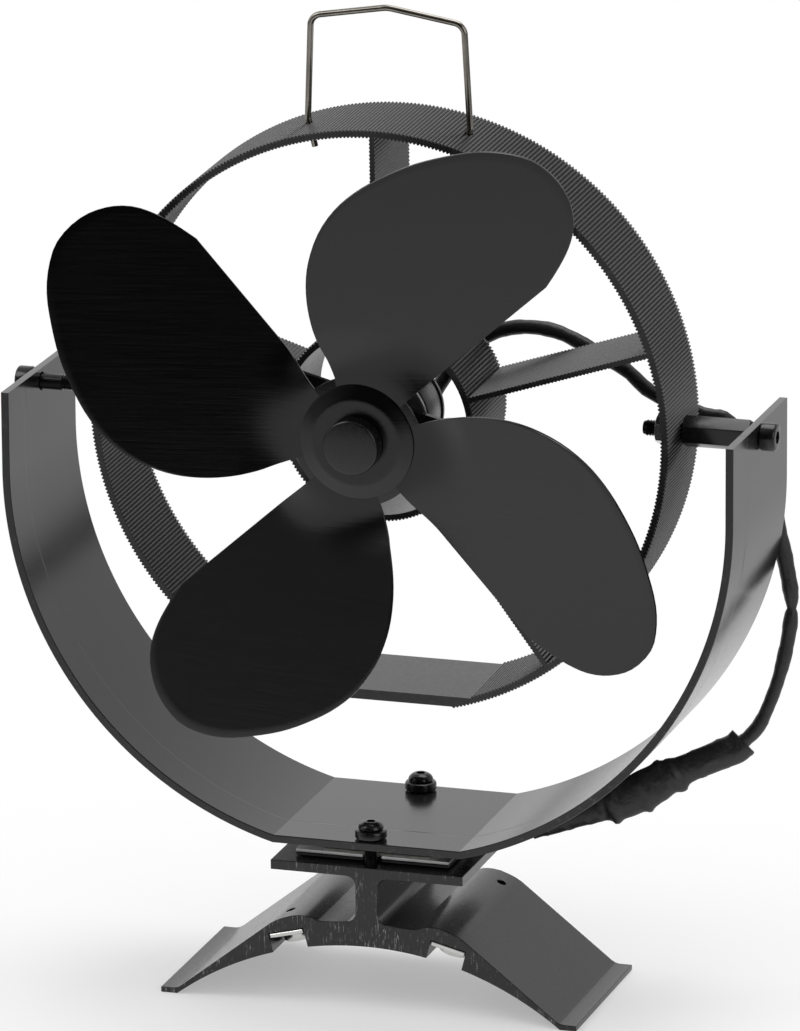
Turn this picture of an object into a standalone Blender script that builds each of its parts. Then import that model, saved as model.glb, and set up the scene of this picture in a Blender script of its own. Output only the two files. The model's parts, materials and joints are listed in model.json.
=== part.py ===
"""Flue pipe fan driven by a thermoelectric module.

Metres, +Z up. X is the width, the blades face -Y, and z = 0 is the flat underside of the foot's lips.
"""
import math

import bmesh
import bpy
from mathutils import Matrix, Vector

# Clearances
GAP = 0.0003
MERGE = 0.00001

# Foot, an extrusion that straddles a flue pipe
DEPTH = 0.050
LIP_WIDTH = 0.0043
FOOT_TOP_Z = 0.0377
TOP_PLATE_HALF = 0.0251
TOP_PLATE_THICK = 0.0025
WEB_THICK = 0.0058
WEB_FILLET = 0.0025
ARCH_HALF_WIDTH = 0.0502
ARCH_RISE = 0.0170
SADDLE_RISE = 0.0062
SHOULDER_HALF_WIDTH = 0.0175
SHOULDER_STEP = 0.0009
LIP_THICK = 0.0014
WEB_HOLE_RADIUS = 0.0008
WEB_HOLE_Y = -0.0047
WEB_HOLE_RISE = 0.0030

# Magnet slots along the underside, each with a steel keeper and two magnets
SLOT_OFFSET = 0.002627
SLOT_WIDTH = 0.0094
SLOT_DEPTH = 0.0049
KEEPER_THICK = 0.0010
MAGNET_RADIUS = 0.0043
MAGNET_THICK = 0.0029
MAGNET_INSET = 0.0095
WING_HOLE_INSET = 0.0070
WING_HOLE_RADIUS = 0.0012

# Thermoelectric stack between the foot and the yoke
STACK_HALF_WIDTH = 0.0200
STACK_INSET = 0.0050
GASKET_THICK = 0.0005
SPREADER_THICK = 0.0007
NOTCH_RADIUS = 0.0026
MODULE_HALF_WIDTH = 0.0150
MODULE_INSET = 0.0080
MODULE_THICK = 0.0021
CERAMIC_THICK = 0.0006
MODULE_CORE_INSET = 0.0008

# Yoke, one bent band
YOKE_RADIUS = 0.0945
YOKE_THICK = 0.0020
YOKE_FLAT_HALF = 0.0245
YOKE_ABOVE_PIVOT = 0.0033
YOKE_ARC_STEPS = 16

# Clamp screws and their insulating bushes, over the web
CLAMP_INSET = 0.0042
CLAMP_SHANK_RADIUS = 0.0016
CLAMP_HEAD_RADIUS = 0.0032
CLAMP_HEAD_HEIGHT = 0.0021
CLAMP_SOCKET_FLATS = 0.0022
CLAMP_SOCKET_DEPTH = 0.0012
CLAMP_DEPTH_IN_FOOT = 0.0100
BUSH_RADIUS = 0.0040
BUSH_HEIGHT = 0.0022
BUSH_SLEEVE_RADIUS = 0.0028

# Heat sink ring with five spokes, which faces slightly down as it stands
PIVOT_RISE = 0.01653
HEAD_TILT = math.radians(1.6)
STANDOFF_LENGTH = 0.0170
RING_WALL = 0.0020
RING_DEPTH = 0.0280
RING_FLAT_DROP = 0.0028
RING_FLAT_THICK = 0.0026
SPOKE_COUNT = 5
SPOKE_THICK = 0.0021
HUB_RADIUS = 0.0252
HUB_BORE_RADIUS = 0.0235
TOOTH_PITCH = 0.0038
TOOTH_HEIGHT = 0.0005

# Pivots: cap screw, hexagon standoff and nut on each side
BOLT_RADIUS = 0.0020
BOLT_LENGTH = 0.0300
BOLT_HEAD_RADIUS = 0.0035
BOLT_HEAD_HEIGHT = 0.0040
BOLT_SOCKET_FLATS = 0.0030
BOLT_SOCKET_DEPTH = 0.0022
HEX_FLATS = 0.0070
NUT_HEIGHT = 0.0032
WASHER_RADIUS = 0.0045
WASHER_THICK = 0.0008
HEX_CHAMFER = 0.0006

# Carrying handle, one bent wire
WIRE_RADIUS = 0.0008
HANDLE_FOOT_X = 0.0209
HANDLE_CORNER_X = 0.0197
HANDLE_LEG = 0.0244
HANDLE_APEX_RISE = 0.0032
HANDLE_APEX_RADIUS = 0.0080
HANDLE_END_INSIDE = 0.0042
WIRE_BEND_RADIUS = 0.0030

# Motor in the hub
MOTOR_RADIUS = 0.0122
MOTOR_FRONT = 0.0098
MOTOR_LENGTH = 0.0123
MOTOR_EDGE = 0.0010
MOTOR_RIM = 0.0005
MOTOR_RIM_LENGTH = 0.0012
MOTOR_BOSS_RADIUS = 0.0031
MOTOR_BOSS_HEIGHT = 0.0010
END_CAP_RADIUS = 0.0108
END_CAP_THICK = 0.0012
TERMINAL_OFFSET = 0.0075
TERMINAL_WIDTH = 0.0022
TERMINAL_THICK = 0.0005
TERMINAL_LENGTH = 0.0032
BRACKET_THICK = 0.0014
BRACKET_WIDTH = 0.0080
BRACKET_TURN = math.radians(165.0)
BRACKET_SCREW_RADIUS = 0.0010
BRACKET_SCREW_OFFSET = 0.0080

# Propeller, one pressed sheet with four blades
SHAFT_RADIUS = 0.0010
BLADE_COUNT = 4
BLADE_PLANE = 0.0290
BLADE_THICK = 0.0008
BLADE_DISC_RADIUS = 0.0165
BLADE_BORE_RADIUS = 0.0043
BLADE_START = math.radians(41.3)
BLADE_EDGE_BACK = 0.0035
BLADE_PITCH = math.radians(15.9)
BLADE_TWIST_END = 0.0300
BLADE_ROWS = 5
BLADE_TIP_RADIUS = 0.0888
# Outline of one blade: degrees past its straight edge, and radius as a share of the tip radius
BLADE_OUTLINE = [
    (0.0, 0.715), (1.5, 0.786), (3.0, 0.847), (5.0, 0.903), (8.0, 0.951), (12.0, 0.987), (17.0, 1.0),
    (21.0, 0.984), (25.0, 0.955), (30.0, 0.905), (35.0, 0.856), (40.0, 0.804), (45.0, 0.753),
    (50.0, 0.696), (55.0, 0.626), (59.0, 0.557), (62.0, 0.496), (65.0, 0.418), (67.0, 0.346), (68.0, 0.284),
]
BLADE_GAP_STEPS = [73.0, 79.0, 85.0]

# Propeller hub
COLLAR_RADIUS = 0.0065
COLLAR_BACK_THICK = 0.0016
COLLAR_SPIGOT_RADIUS = 0.0040
COLLAR_STUD_RADIUS = 0.0030
DISH_RADIUS = 0.0145
DISH_RIM_RADIUS = 0.0113
DISH_FRONT = 0.0019
DISH_EDGE = 0.0002
NUT_CAP_RADIUS = 0.0070
NUT_CAP_FRONT = 0.0067
NUT_CAP_EDGE = 0.0006
NUT_CAP_ROOF = 0.0020
STUD_WALL = 0.0010

# Lead from the motor to the module
LEAD_RADIUS = 0.0019
SPLICE_RADIUS = 0.0050
LEAD_SAMPLE = 0.0060
LEAD_HEAD_POINTS = [
    (0.0040, 0.0046, 0.1460), (0.0045, 0.0080, 0.1468), (0.0062, 0.0125, 0.1502), (0.0090, 0.0162, 0.1552),
    (0.0130, 0.0182, 0.1608), (0.0185, 0.0187, 0.1650), (0.0245, 0.0187, 0.1675), (0.0300, 0.0187, 0.1682),
    (0.0355, 0.0187, 0.1678), (0.0403, 0.0187, 0.1663), (0.0475, 0.0187, 0.1628), (0.0547, 0.0187, 0.1590),
    (0.0600, 0.0188, 0.1545), (0.0655, 0.0190, 0.1516), (0.0715, 0.0190, 0.1504), (0.0750, 0.0190, 0.1493),
    (0.0775, 0.0190, 0.1490),
]
LEAD_SLACK_POINTS = [
    (0.0775, 0.0190, 0.1490), (0.0800, 0.0190, 0.1487), (0.0832, 0.0216, 0.1442), (0.0866, 0.0256, 0.1370),
    (0.0896, 0.0284, 0.1270), (0.0912, 0.0285, 0.1190), (0.0932, 0.0285, 0.1100), (0.0946, 0.0282, 0.1030),
    (0.0950, 0.0280, 0.0980), (0.0942, 0.0272, 0.0895), (0.0920, 0.0257, 0.0790), (0.0886, 0.0240, 0.0695),
    (0.0862, 0.0230, 0.0659), (0.0843, 0.0220, 0.0641),
]
SPLICE_POINTS = [
    (0.0843, 0.0220, 0.0641), (0.0824, 0.0210, 0.0623), (0.0785, 0.0196, 0.0606), (0.0682, 0.0170, 0.0557),
    (0.0573, 0.0140, 0.0497), (0.0502, 0.0125, 0.0466), (0.0404, 0.0110, 0.0421), (0.0345, 0.0103, 0.0396),
    (0.0328, 0.0100, 0.0388),
]
# Radius of the splice, by its share of the length from the ring's side
SPLICE_RADII = [
    (0.0, 0.0039), (0.15, 0.0037), (0.25, 0.0036), (0.33, 0.0045), (0.36, 0.0043), (0.45, 0.0050),
    (0.55, 0.0048), (0.63, 0.0045), (0.67, 0.0033), (0.75, 0.0028), (0.85, 0.0022), (0.95, 0.0016),
    (1.0, 0.0014),
]
TAIL_POINTS = [
    (0.0328, 0.0100, 0.0388), (0.0309, 0.0094, 0.0381), (0.0280, 0.0082, 0.0387), (0.0252, 0.0068, 0.0396),
    (0.0230, 0.0058, 0.0401), (0.0208, 0.0052, 0.0401),
]
TAIL_RADIUS = 0.0009

# Places that follow from the sizes above
FOOT_HALF_WIDTH = ARCH_HALF_WIDTH + LIP_WIDTH
MAGNET_Y = DEPTH / 2 - MAGNET_INSET
WING_HOLE_Y = DEPTH / 2 - WING_HOLE_INSET
CLAMP_Y = DEPTH / 2 - CLAMP_INSET
STACK_HALF_DEPTH = DEPTH / 2 - STACK_INSET
MODULE_HALF_DEPTH = DEPTH / 2 - MODULE_INSET
ARCH_RADIUS = (ARCH_HALF_WIDTH ** 2 + ARCH_RISE ** 2) / (2 * ARCH_RISE)
ARCH_CENTRE_Z = ARCH_RISE - ARCH_RADIUS
SLOT_ANGLE = math.asin((SHOULDER_HALF_WIDTH + SLOT_OFFSET) / ARCH_RADIUS)
SADDLE_TOP_Z = ARCH_RISE + SADDLE_RISE
GASKET_Z = FOOT_TOP_Z + GAP
SPREADER_Z = GASKET_Z + GASKET_THICK + GAP
MODULE_Z = SPREADER_Z + SPREADER_THICK + GAP
YOKE_UNDER_Z = MODULE_Z + MODULE_THICK + GAP
YOKE_FLOOR_Z = YOKE_UNDER_Z + YOKE_THICK
YOKE_CENTRE_Z = YOKE_UNDER_Z + math.sqrt(YOKE_RADIUS ** 2 - YOKE_FLAT_HALF ** 2)
PIVOT_Z = YOKE_CENTRE_Z + PIVOT_RISE
YOKE_TOP_Z = PIVOT_Z + YOKE_ABOVE_PIVOT
RING_RADIUS = YOKE_RADIUS - YOKE_THICK - STANDOFF_LENGTH - 2 * GAP
RING_INNER_RADIUS = RING_RADIUS - RING_WALL
RING_FLAT_Z = RING_RADIUS - RING_FLAT_DROP
HANDLE_CORNER_Z = RING_RADIUS + HANDLE_LEG
HANDLE_APEX_Z = HANDLE_CORNER_Z + HANDLE_APEX_RISE
MOTOR_BACK = MOTOR_FRONT - MOTOR_LENGTH


def clear_scene():
    for obj in list(bpy.data.objects):
        bpy.data.objects.remove(obj, do_unlink=True)


def new_collection(name):
    collection = bpy.data.collections.new(name)
    bpy.context.scene.collection.children.link(collection)
    return collection


def finish(name, colour, roughness, metallic):
    material = bpy.data.materials.new(name)
    material.use_nodes = True
    shader = material.node_tree.nodes["Principled BSDF"]
    shader.inputs["Base Color"].default_value = (*colour, 1.0)
    shader.inputs["Roughness"].default_value = roughness
    shader.inputs["Metallic"].default_value = metallic
    return material


clear_scene()
PARTS = new_collection("flue_fan")
CUTTERS = new_collection("cutters")
BLACK_ANODISED = finish("black_anodised", (0.045, 0.045, 0.047), 0.38, 0.8)
YOKE_ANODISED = finish("satin_anodised", (0.11, 0.11, 0.112), 0.32, 0.85)
BLADE_PAINT = finish("blade_black", (0.03, 0.03, 0.031), 0.3, 0.7)
BLACK_STEEL = finish("black_steel", (0.02, 0.02, 0.02), 0.3, 0.9)
BRIGHT_STEEL = finish("bright_steel", (0.62, 0.61, 0.6), 0.25, 1.0)
BARE_ALUMINIUM = finish("bare_aluminium", (0.7, 0.7, 0.7), 0.3, 1.0)
MAGNET_PLATE = finish("magnet_nickel", (0.5, 0.5, 0.49), 0.3, 1.0)
GRAPHITE = finish("graphite", (0.04, 0.04, 0.042), 0.7, 0.0)
CERAMIC = finish("module_ceramic", (0.75, 0.75, 0.72), 0.5, 0.0)
BLACK_PLASTIC = finish("black_plastic", (0.02, 0.02, 0.02), 0.4, 0.0)
BRASS = finish("terminal_brass", (0.7, 0.55, 0.3), 0.3, 1.0)
BLACK_SLEEVE = finish("black_sleeve", (0.015, 0.015, 0.015), 0.45, 0.0)


def empty(name, parent, location):
    obj = bpy.data.objects.new(name, None)
    obj.parent = parent
    obj.location = location
    PARTS.objects.link(obj)
    return obj


def place(name, mesh, parent, location=(0, 0, 0), rotation=(0, 0, 0), material=None):
    """Link a mesh as a part, or as a cutter when it has no material."""
    obj = bpy.data.objects.new(name, mesh)
    obj.parent = parent
    obj.location = location
    obj.rotation_euler = rotation
    if material is None:
        CUTTERS.objects.link(obj)
        obj.hide_render = True
        obj.display_type = "WIRE"
    else:
        PARTS.objects.link(obj)
        mesh.materials.append(material)
    return obj


def boolean(obj, cutter, operation="DIFFERENCE"):
    modifier = obj.modifiers.new(cutter.name, "BOOLEAN")
    modifier.operation = operation
    modifier.solver = "EXACT"
    modifier.object = cutter


def mesh_from_bmesh(name, bm):
    mesh = bpy.data.meshes.new(name)
    bm.to_mesh(mesh)
    bm.free()
    return mesh


def mesh_from_curve(name, curve):
    """Turn a curve into a mesh with its caps welded on."""
    carrier = bpy.data.objects.new(name, curve)
    bpy.context.scene.collection.objects.link(carrier)
    depsgraph = bpy.context.evaluated_depsgraph_get()
    mesh = bpy.data.meshes.new_from_object(carrier.evaluated_get(depsgraph))
    bpy.data.objects.remove(carrier, do_unlink=True)
    bm = bmesh.new()
    bm.from_mesh(mesh)
    bmesh.ops.remove_doubles(bm, verts=bm.verts, dist=MERGE)
    bm.to_mesh(mesh)
    bm.free()
    mesh.name = name
    mesh.materials.clear()
    return mesh


def flat_mesh(name, outlines, thickness):
    """Extrude closed outlines, the first one solid and the rest holes, to a plate about its own plane."""
    curve = bpy.data.curves.new(name, "CURVE")
    curve.dimensions = "2D"
    curve.fill_mode = "BOTH"
    curve.extrude = thickness / 2
    for outline in outlines:
        spline = curve.splines.new("POLY")
        spline.points.add(len(outline) - 1)
        for point, (x, y) in zip(spline.points, outline):
            point.co = (x, y, 0.0, 1.0)
        spline.use_cyclic_u = True
    return mesh_from_curve(name, curve)


def tube_mesh(name, points, radius, radii=None, sides=2):
    """A round tube along points, with an optional share of the radius at each point."""
    curve = bpy.data.curves.new(name, "CURVE")
    curve.dimensions = "3D"
    curve.bevel_depth = radius
    curve.bevel_resolution = sides
    curve.use_fill_caps = True
    spline = curve.splines.new("POLY")
    spline.points.add(len(points) - 1)
    for index, point in enumerate(points):
        spline.points[index].co = (*point, 1.0)
        spline.points[index].radius = radii[index] if radii else 1.0
    mesh = mesh_from_curve(name, curve)
    mesh.shade_smooth()
    return mesh


def box_mesh(name, size):
    bm = bmesh.new()
    bmesh.ops.create_cube(bm, size=1.0)
    bmesh.ops.scale(bm, vec=size, verts=bm.verts)
    return mesh_from_bmesh(name, bm)


def cylinder_mesh(name, radius, height, segments=32):
    bm = bmesh.new()
    bmesh.ops.create_cone(bm, cap_ends=True, segments=segments, radius1=radius, radius2=radius, depth=height)
    return mesh_from_bmesh(name, bm)


def hexagon_mesh(name, across_flats, height):
    bm = bmesh.new()
    radius = across_flats / math.sqrt(3)
    bmesh.ops.create_cone(bm, cap_ends=True, segments=6, radius1=radius, radius2=radius, depth=height)
    return mesh_from_bmesh(name, bm)


def turned(name, profile, parent, location, rotation, material, bored=False, steps=32):
    """Turn a profile of (radius, height) points, which runs down the outside, about local Z."""
    bm = bmesh.new()
    verts = [bm.verts.new((radius, 0.0, height)) for radius, height in profile]
    for first, second in zip(verts, verts[1:]):
        bm.edges.new((first, second))
    if bored:
        bm.edges.new((verts[-1], verts[0]))
    obj = place(name, mesh_from_bmesh(name, bm), parent, location, rotation, material)
    screw = obj.modifiers.new("turn", "SCREW")
    screw.axis = "Z"
    screw.steps = steps
    screw.render_steps = steps
    screw.use_merge_vertices = True
    screw.merge_threshold = MERGE
    screw.use_normal_calculate = False
    screw.use_smooth_shade = True
    return obj


def arc_points(centre, radius, start, end, steps):
    """Points on an arc, both ends included. Angles are in radians from the first axis."""
    points = []
    for index in range(steps + 1):
        angle = start + (end - start) * index / steps
        points.append((centre[0] + radius * math.cos(angle), centre[1] + radius * math.sin(angle)))
    return points


def mirrored(half):
    """Close an outline from its right half, which runs clockwise from the top centre to the bottom centre."""
    left = [(-x, z) for x, z in reversed(half) if x > MERGE]
    return half + left


def smooth_route(points, spacing):
    """Catmull-Rom points through a hand-chosen route."""
    ends = [Vector(point) for point in points]
    ends = [2 * ends[0] - ends[1]] + ends + [2 * ends[-1] - ends[-2]]
    route = []
    for index in range(1, len(ends) - 2):
        before, first, second, after = ends[index - 1:index + 3]
        steps = max(1, round((second - first).length / spacing))
        for step in range(steps):
            t = step / steps
            route.append(0.5 * (2 * first + (second - before) * t
                                + (2 * before - 5 * first + 4 * second - after) * t ** 2
                                + (3 * first - before - 3 * second + after) * t ** 3))
    route.append(ends[-2])
    return route


def fillet_path(corners, radius, steps):
    """Round each inner corner of a flat path with an arc of the given radius."""
    points = [Vector(corners[0])]
    for before, corner, after in zip(corners, corners[1:], corners[2:]):
        corner = Vector(corner)
        back = (Vector(before) - corner).normalized()
        ahead = (Vector(after) - corner).normalized()
        half = back.angle(ahead) / 2
        centre = corner + (back + ahead).normalized() * radius / math.sin(half)
        first = corner + back * radius / math.tan(half) - centre
        last = corner + ahead * radius / math.tan(half) - centre
        for index in range(steps + 1):
            turn = first.lerp(last, index / steps).normalized() * radius
            points.append(centre + turn)
    points.append(Vector(corners[-1]))
    return points


# Directions for turned pieces, whose own axis is local Z
UPRIGHT = (0, 0, 0)
FACING_FRONT = (math.pi / 2, 0, 0)
FACING_SIDE = {1: (0, math.pi / 2, 0), -1: (0, -math.pi / 2, 0)}
SIDE_NAMES = {1: "right", -1: "left"}
END_NAMES = {-1: "front", 1: "rear"}


def slot_frame(side):
    """Foot of a magnet slot on the arch, with its outward and sideways directions in X and Z."""
    outward = Vector((side * math.sin(SLOT_ANGLE), math.cos(SLOT_ANGLE)))
    sideways = Vector((side * math.cos(SLOT_ANGLE), -math.sin(SLOT_ANGLE)))
    foot = Vector((0, ARCH_CENTRE_Z)) + outward * ARCH_RADIUS
    return foot, outward, sideways


def foot_half_outline():
    """Right half of the foot's section, from the top centre round to the top of the arch."""
    web = WEB_THICK / 2
    plate_under = FOOT_TOP_Z - TOP_PLATE_THICK
    quarter = math.pi / 2
    half = [(0, FOOT_TOP_Z), (TOP_PLATE_HALF, FOOT_TOP_Z), (TOP_PLATE_HALF, plate_under + GAP / 2)]
    half += arc_points((web + WEB_FILLET, plate_under - WEB_FILLET), WEB_FILLET, quarter, 2 * quarter, 5)
    half += arc_points((web + WEB_FILLET, SADDLE_TOP_Z + WEB_FILLET), WEB_FILLET, 2 * quarter, 3 * quarter, 5)
    shoulder_top = SADDLE_TOP_Z + SHOULDER_STEP / 2
    half.append((SHOULDER_HALF_WIDTH - SLOT_WIDTH / 2, SADDLE_TOP_Z - SHOULDER_STEP / 2))
    half.append((SHOULDER_HALF_WIDTH - SLOT_WIDTH / 4, shoulder_top))
    half.append((SHOULDER_HALF_WIDTH, shoulder_top))
    half.append((SHOULDER_HALF_WIDTH + SLOT_WIDTH / 4, shoulder_top - SHOULDER_STEP / 3))
    half.append((SHOULDER_HALF_WIDTH + SLOT_WIDTH / 2, shoulder_top - SHOULDER_STEP * 1.3))
    half.append((TOP_PLATE_HALF, shoulder_top - SHOULDER_STEP * 2.8))
    half += [(ARCH_HALF_WIDTH, LIP_THICK), (FOOT_HALF_WIDTH, LIP_THICK), (FOOT_HALF_WIDTH, 0)]
    foot, outward, sideways = slot_frame(1)
    slot_turn = math.asin(SLOT_WIDTH / 2 / ARCH_RADIUS)
    toe = math.asin(ARCH_HALF_WIDTH / ARCH_RADIUS)
    centre = (0, ARCH_CENTRE_Z)
    half += arc_points(centre, ARCH_RADIUS, quarter - toe, quarter - SLOT_ANGLE - slot_turn, 9)
    for sign in (1, -1):
        ceiling = foot + outward * SLOT_DEPTH + sideways * sign * SLOT_WIDTH / 2
        half.append(tuple(ceiling))
    half += arc_points(centre, ARCH_RADIUS, quarter - SLOT_ANGLE + slot_turn, quarter, 5)
    return half


def make_foot(stand):
    mesh = flat_mesh("foot", [mirrored(foot_half_outline())], DEPTH)
    foot = place("foot", mesh, stand, (0, 0, 0), FACING_FRONT, BLACK_ANODISED)
    for side in (1, -1):
        base, outward, sideways = slot_frame(side)
        name = "wing_hole_" + SIDE_NAMES[side]
        drill = cylinder_mesh(name, WING_HOLE_RADIUS, 2 * SLOT_DEPTH, 16)
        middle = base + outward * (SLOT_DEPTH * 1.5)
        tilt = (0, side * SLOT_ANGLE, 0)
        boolean(foot, place(name, drill, stand, (middle.x, side * WING_HOLE_Y, middle.y), tilt))
    drill = cylinder_mesh("web_hole", WEB_HOLE_RADIUS, WEB_THICK * 3, 16)
    at = (0, WEB_HOLE_Y, SADDLE_TOP_Z + WEB_FILLET + WEB_HOLE_RISE)
    boolean(foot, place("web_hole", drill, stand, at, FACING_SIDE[1]))
    for end in (-1, 1):
        name = "clamp_thread_" + END_NAMES[end]
        length = 2 * (CLAMP_DEPTH_IN_FOOT + GAP)
        drill = cylinder_mesh(name, CLAMP_SHANK_RADIUS + GAP, length, 24)
        boolean(foot, place(name, drill, stand, (0, end * CLAMP_Y, FOOT_TOP_Z)))


def make_keepers_and_magnets(stand):
    for side in (1, -1):
        base, outward, sideways = slot_frame(side)
        tilt = (0, side * SLOT_ANGLE, 0)
        name = "keeper_" + SIDE_NAMES[side]
        mesh = box_mesh(name, (SLOT_WIDTH - 2 * GAP, DEPTH, KEEPER_THICK))
        middle = base + outward * (SLOT_DEPTH - GAP - KEEPER_THICK / 2)
        place(name, mesh, stand, (middle.x, 0, middle.y), tilt, BRIGHT_STEEL)
        for end in (-1, 1):
            name = "magnet_%s_%s" % (SIDE_NAMES[side], END_NAMES[end])
            mesh = cylinder_mesh(name, MAGNET_RADIUS, MAGNET_THICK)
            middle = base + outward * (SLOT_DEPTH - 2 * GAP - KEEPER_THICK - MAGNET_THICK / 2)
            place(name, mesh, stand, (middle.x, end * MAGNET_Y, middle.y), tilt, MAGNET_PLATE)


def notched_plate(name, z, thickness, stand, material):
    """A thin plate of the stack, with a notch round each clamp screw."""
    mesh = box_mesh(name, (2 * STACK_HALF_WIDTH, 2 * STACK_HALF_DEPTH, thickness))
    plate = place(name, mesh, stand, (0, 0, z + thickness / 2), UPRIGHT, material)
    for end in (-1, 1):
        cutter_name = "%s_notch_%s" % (name, END_NAMES[end])
        cutter = cylinder_mesh(cutter_name, NOTCH_RADIUS, 4 * thickness)
        boolean(plate, place(cutter_name, cutter, stand, (0, end * CLAMP_Y, z + thickness / 2)))


def make_stack(stand):
    notched_plate("graphite_sheet", GASKET_Z, GASKET_THICK, stand, GRAPHITE)
    notched_plate("spreader_plate", SPREADER_Z, SPREADER_THICK, stand, BARE_ALUMINIUM)
    size = (2 * MODULE_HALF_WIDTH, 2 * MODULE_HALF_DEPTH, CERAMIC_THICK)
    core = (size[0] - 2 * MODULE_CORE_INSET, size[1] - 2 * MODULE_CORE_INSET, MODULE_THICK)
    middle = MODULE_Z + MODULE_THICK / 2
    module = place("thermoelectric_module", box_mesh("module_core", core), stand, (0, 0, middle),
                   UPRIGHT, CERAMIC)
    for index, z in enumerate((MODULE_Z + CERAMIC_THICK / 2, MODULE_Z + MODULE_THICK - CERAMIC_THICK / 2)):
        name = "module_ceramic_%d" % index
        boolean(module, place(name, box_mesh(name, size), stand, (0, 0, z)), "UNION")


def yoke_half_outline():
    """Right half of the yoke's section: down the outside and back up the inside."""
    inner = YOKE_RADIUS - YOKE_THICK
    centre = (0, YOKE_CENTRE_Z)
    corner = math.asin(YOKE_FLAT_HALF / YOKE_RADIUS)
    inner_corner = math.acos((YOKE_CENTRE_Z - YOKE_FLOOR_Z) / inner)
    down = arc_points(centre, YOKE_RADIUS, 0, corner - math.pi / 2, YOKE_ARC_STEPS)
    up = arc_points(centre, inner, inner_corner - math.pi / 2, 0, YOKE_ARC_STEPS)
    outside = [(YOKE_RADIUS, YOKE_TOP_Z)] + down
    inside = up + [(inner, YOKE_TOP_Z)]
    return outside, inside


def make_yoke(stand):
    outside, inside = yoke_half_outline()
    left_up = [(-x, z) for x, z in reversed(outside)]
    left_down = [(-x, z) for x, z in reversed(inside)]
    mesh = flat_mesh("yoke", [outside + left_up + left_down + inside], DEPTH)
    yoke = place("yoke", mesh, stand, (0, 0, 0), FACING_FRONT, YOKE_ANODISED)
    drill = cylinder_mesh("yoke_pivot_holes", BOLT_RADIUS + GAP, 3 * YOKE_RADIUS, 24)
    boolean(yoke, place("yoke_pivot_holes", drill, stand, (0, 0, PIVOT_Z), FACING_SIDE[1]))
    for end in (-1, 1):
        name = "yoke_clamp_hole_" + END_NAMES[end]
        drill = cylinder_mesh(name, BUSH_SLEEVE_RADIUS + GAP, 3 * YOKE_THICK, 24)
        boolean(yoke, place(name, drill, stand, (0, end * CLAMP_Y, YOKE_FLOOR_Z)))


def make_clamps(stand):
    for end in (-1, 1):
        at = (0, end * CLAMP_Y, YOKE_FLOOR_Z + GAP)
        bore = CLAMP_SHANK_RADIUS + GAP
        sleeve_end = -YOKE_THICK - GAP
        profile = [(BUSH_RADIUS - GAP, BUSH_HEIGHT), (BUSH_RADIUS, BUSH_HEIGHT - GAP), (BUSH_RADIUS, 0),
                   (BUSH_SLEEVE_RADIUS, 0), (BUSH_SLEEVE_RADIUS, sleeve_end), (bore, sleeve_end),
                   (bore, BUSH_HEIGHT)]
        turned("clamp_bush_" + END_NAMES[end], profile, stand, at, UPRIGHT, BLACK_PLASTIC, True, 20)
        seat = YOKE_FLOOR_Z + BUSH_HEIGHT + 2 * GAP
        tip = FOOT_TOP_Z - CLAMP_DEPTH_IN_FOOT - seat
        dome = [(CLAMP_HEAD_RADIUS * math.cos(angle), CLAMP_HEAD_HEIGHT * math.sin(angle))
                for angle in (math.radians(58), math.radians(38), math.radians(18))]
        profile = [(0, dome[0][1])] + dome + [(CLAMP_HEAD_RADIUS, 0), (CLAMP_SHANK_RADIUS, 0),
                                              (CLAMP_SHANK_RADIUS, tip), (0, tip)]
        at = (0, end * CLAMP_Y, seat)
        screw = turned("clamp_screw_" + END_NAMES[end], profile, stand, at, UPRIGHT, BLACK_STEEL, False, 20)
        name = "clamp_socket_" + END_NAMES[end]
        socket = hexagon_mesh(name, CLAMP_SOCKET_FLATS, 2 * CLAMP_SOCKET_DEPTH)
        boolean(screw, place(name, socket, stand, (0, end * CLAMP_Y, seat + dome[0][1])))


def toothed_arc(root, tip, start, end):
    """Zigzag points on an arc about the origin, one tooth for each pitch, ending on the root circle."""
    length = abs(end - start) * root
    teeth = max(1, round(length / TOOTH_PITCH))
    points = []
    for tooth in range(teeth):
        for radius, share in ((root, 0.0), (tip, 0.5)):
            angle = start + (end - start) * (tooth + share) / teeth
            points.append((radius * math.cos(angle), radius * math.sin(angle)))
    points.append((root * math.cos(end), root * math.sin(end)))
    return points


def toothed_line(start, end, rise):
    """Zigzag points on a straight run, whose teeth stand to the left of its direction."""
    start = Vector(start)
    run = Vector(end) - start
    side = Vector((-run.y, run.x)).normalized() * rise
    teeth = max(1, round(run.length / TOOTH_PITCH))
    points = []
    for tooth in range(teeth):
        points.append(tuple(start + run * tooth / teeth))
        points.append(tuple(start + run * (tooth + 0.5) / teeth + side))
    return points


def ring_outer_outline():
    root = RING_RADIUS - TOOTH_HEIGHT
    corner = math.asin(RING_FLAT_Z / root)
    return toothed_arc(root, RING_RADIUS, -corner, math.pi + corner)


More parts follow.
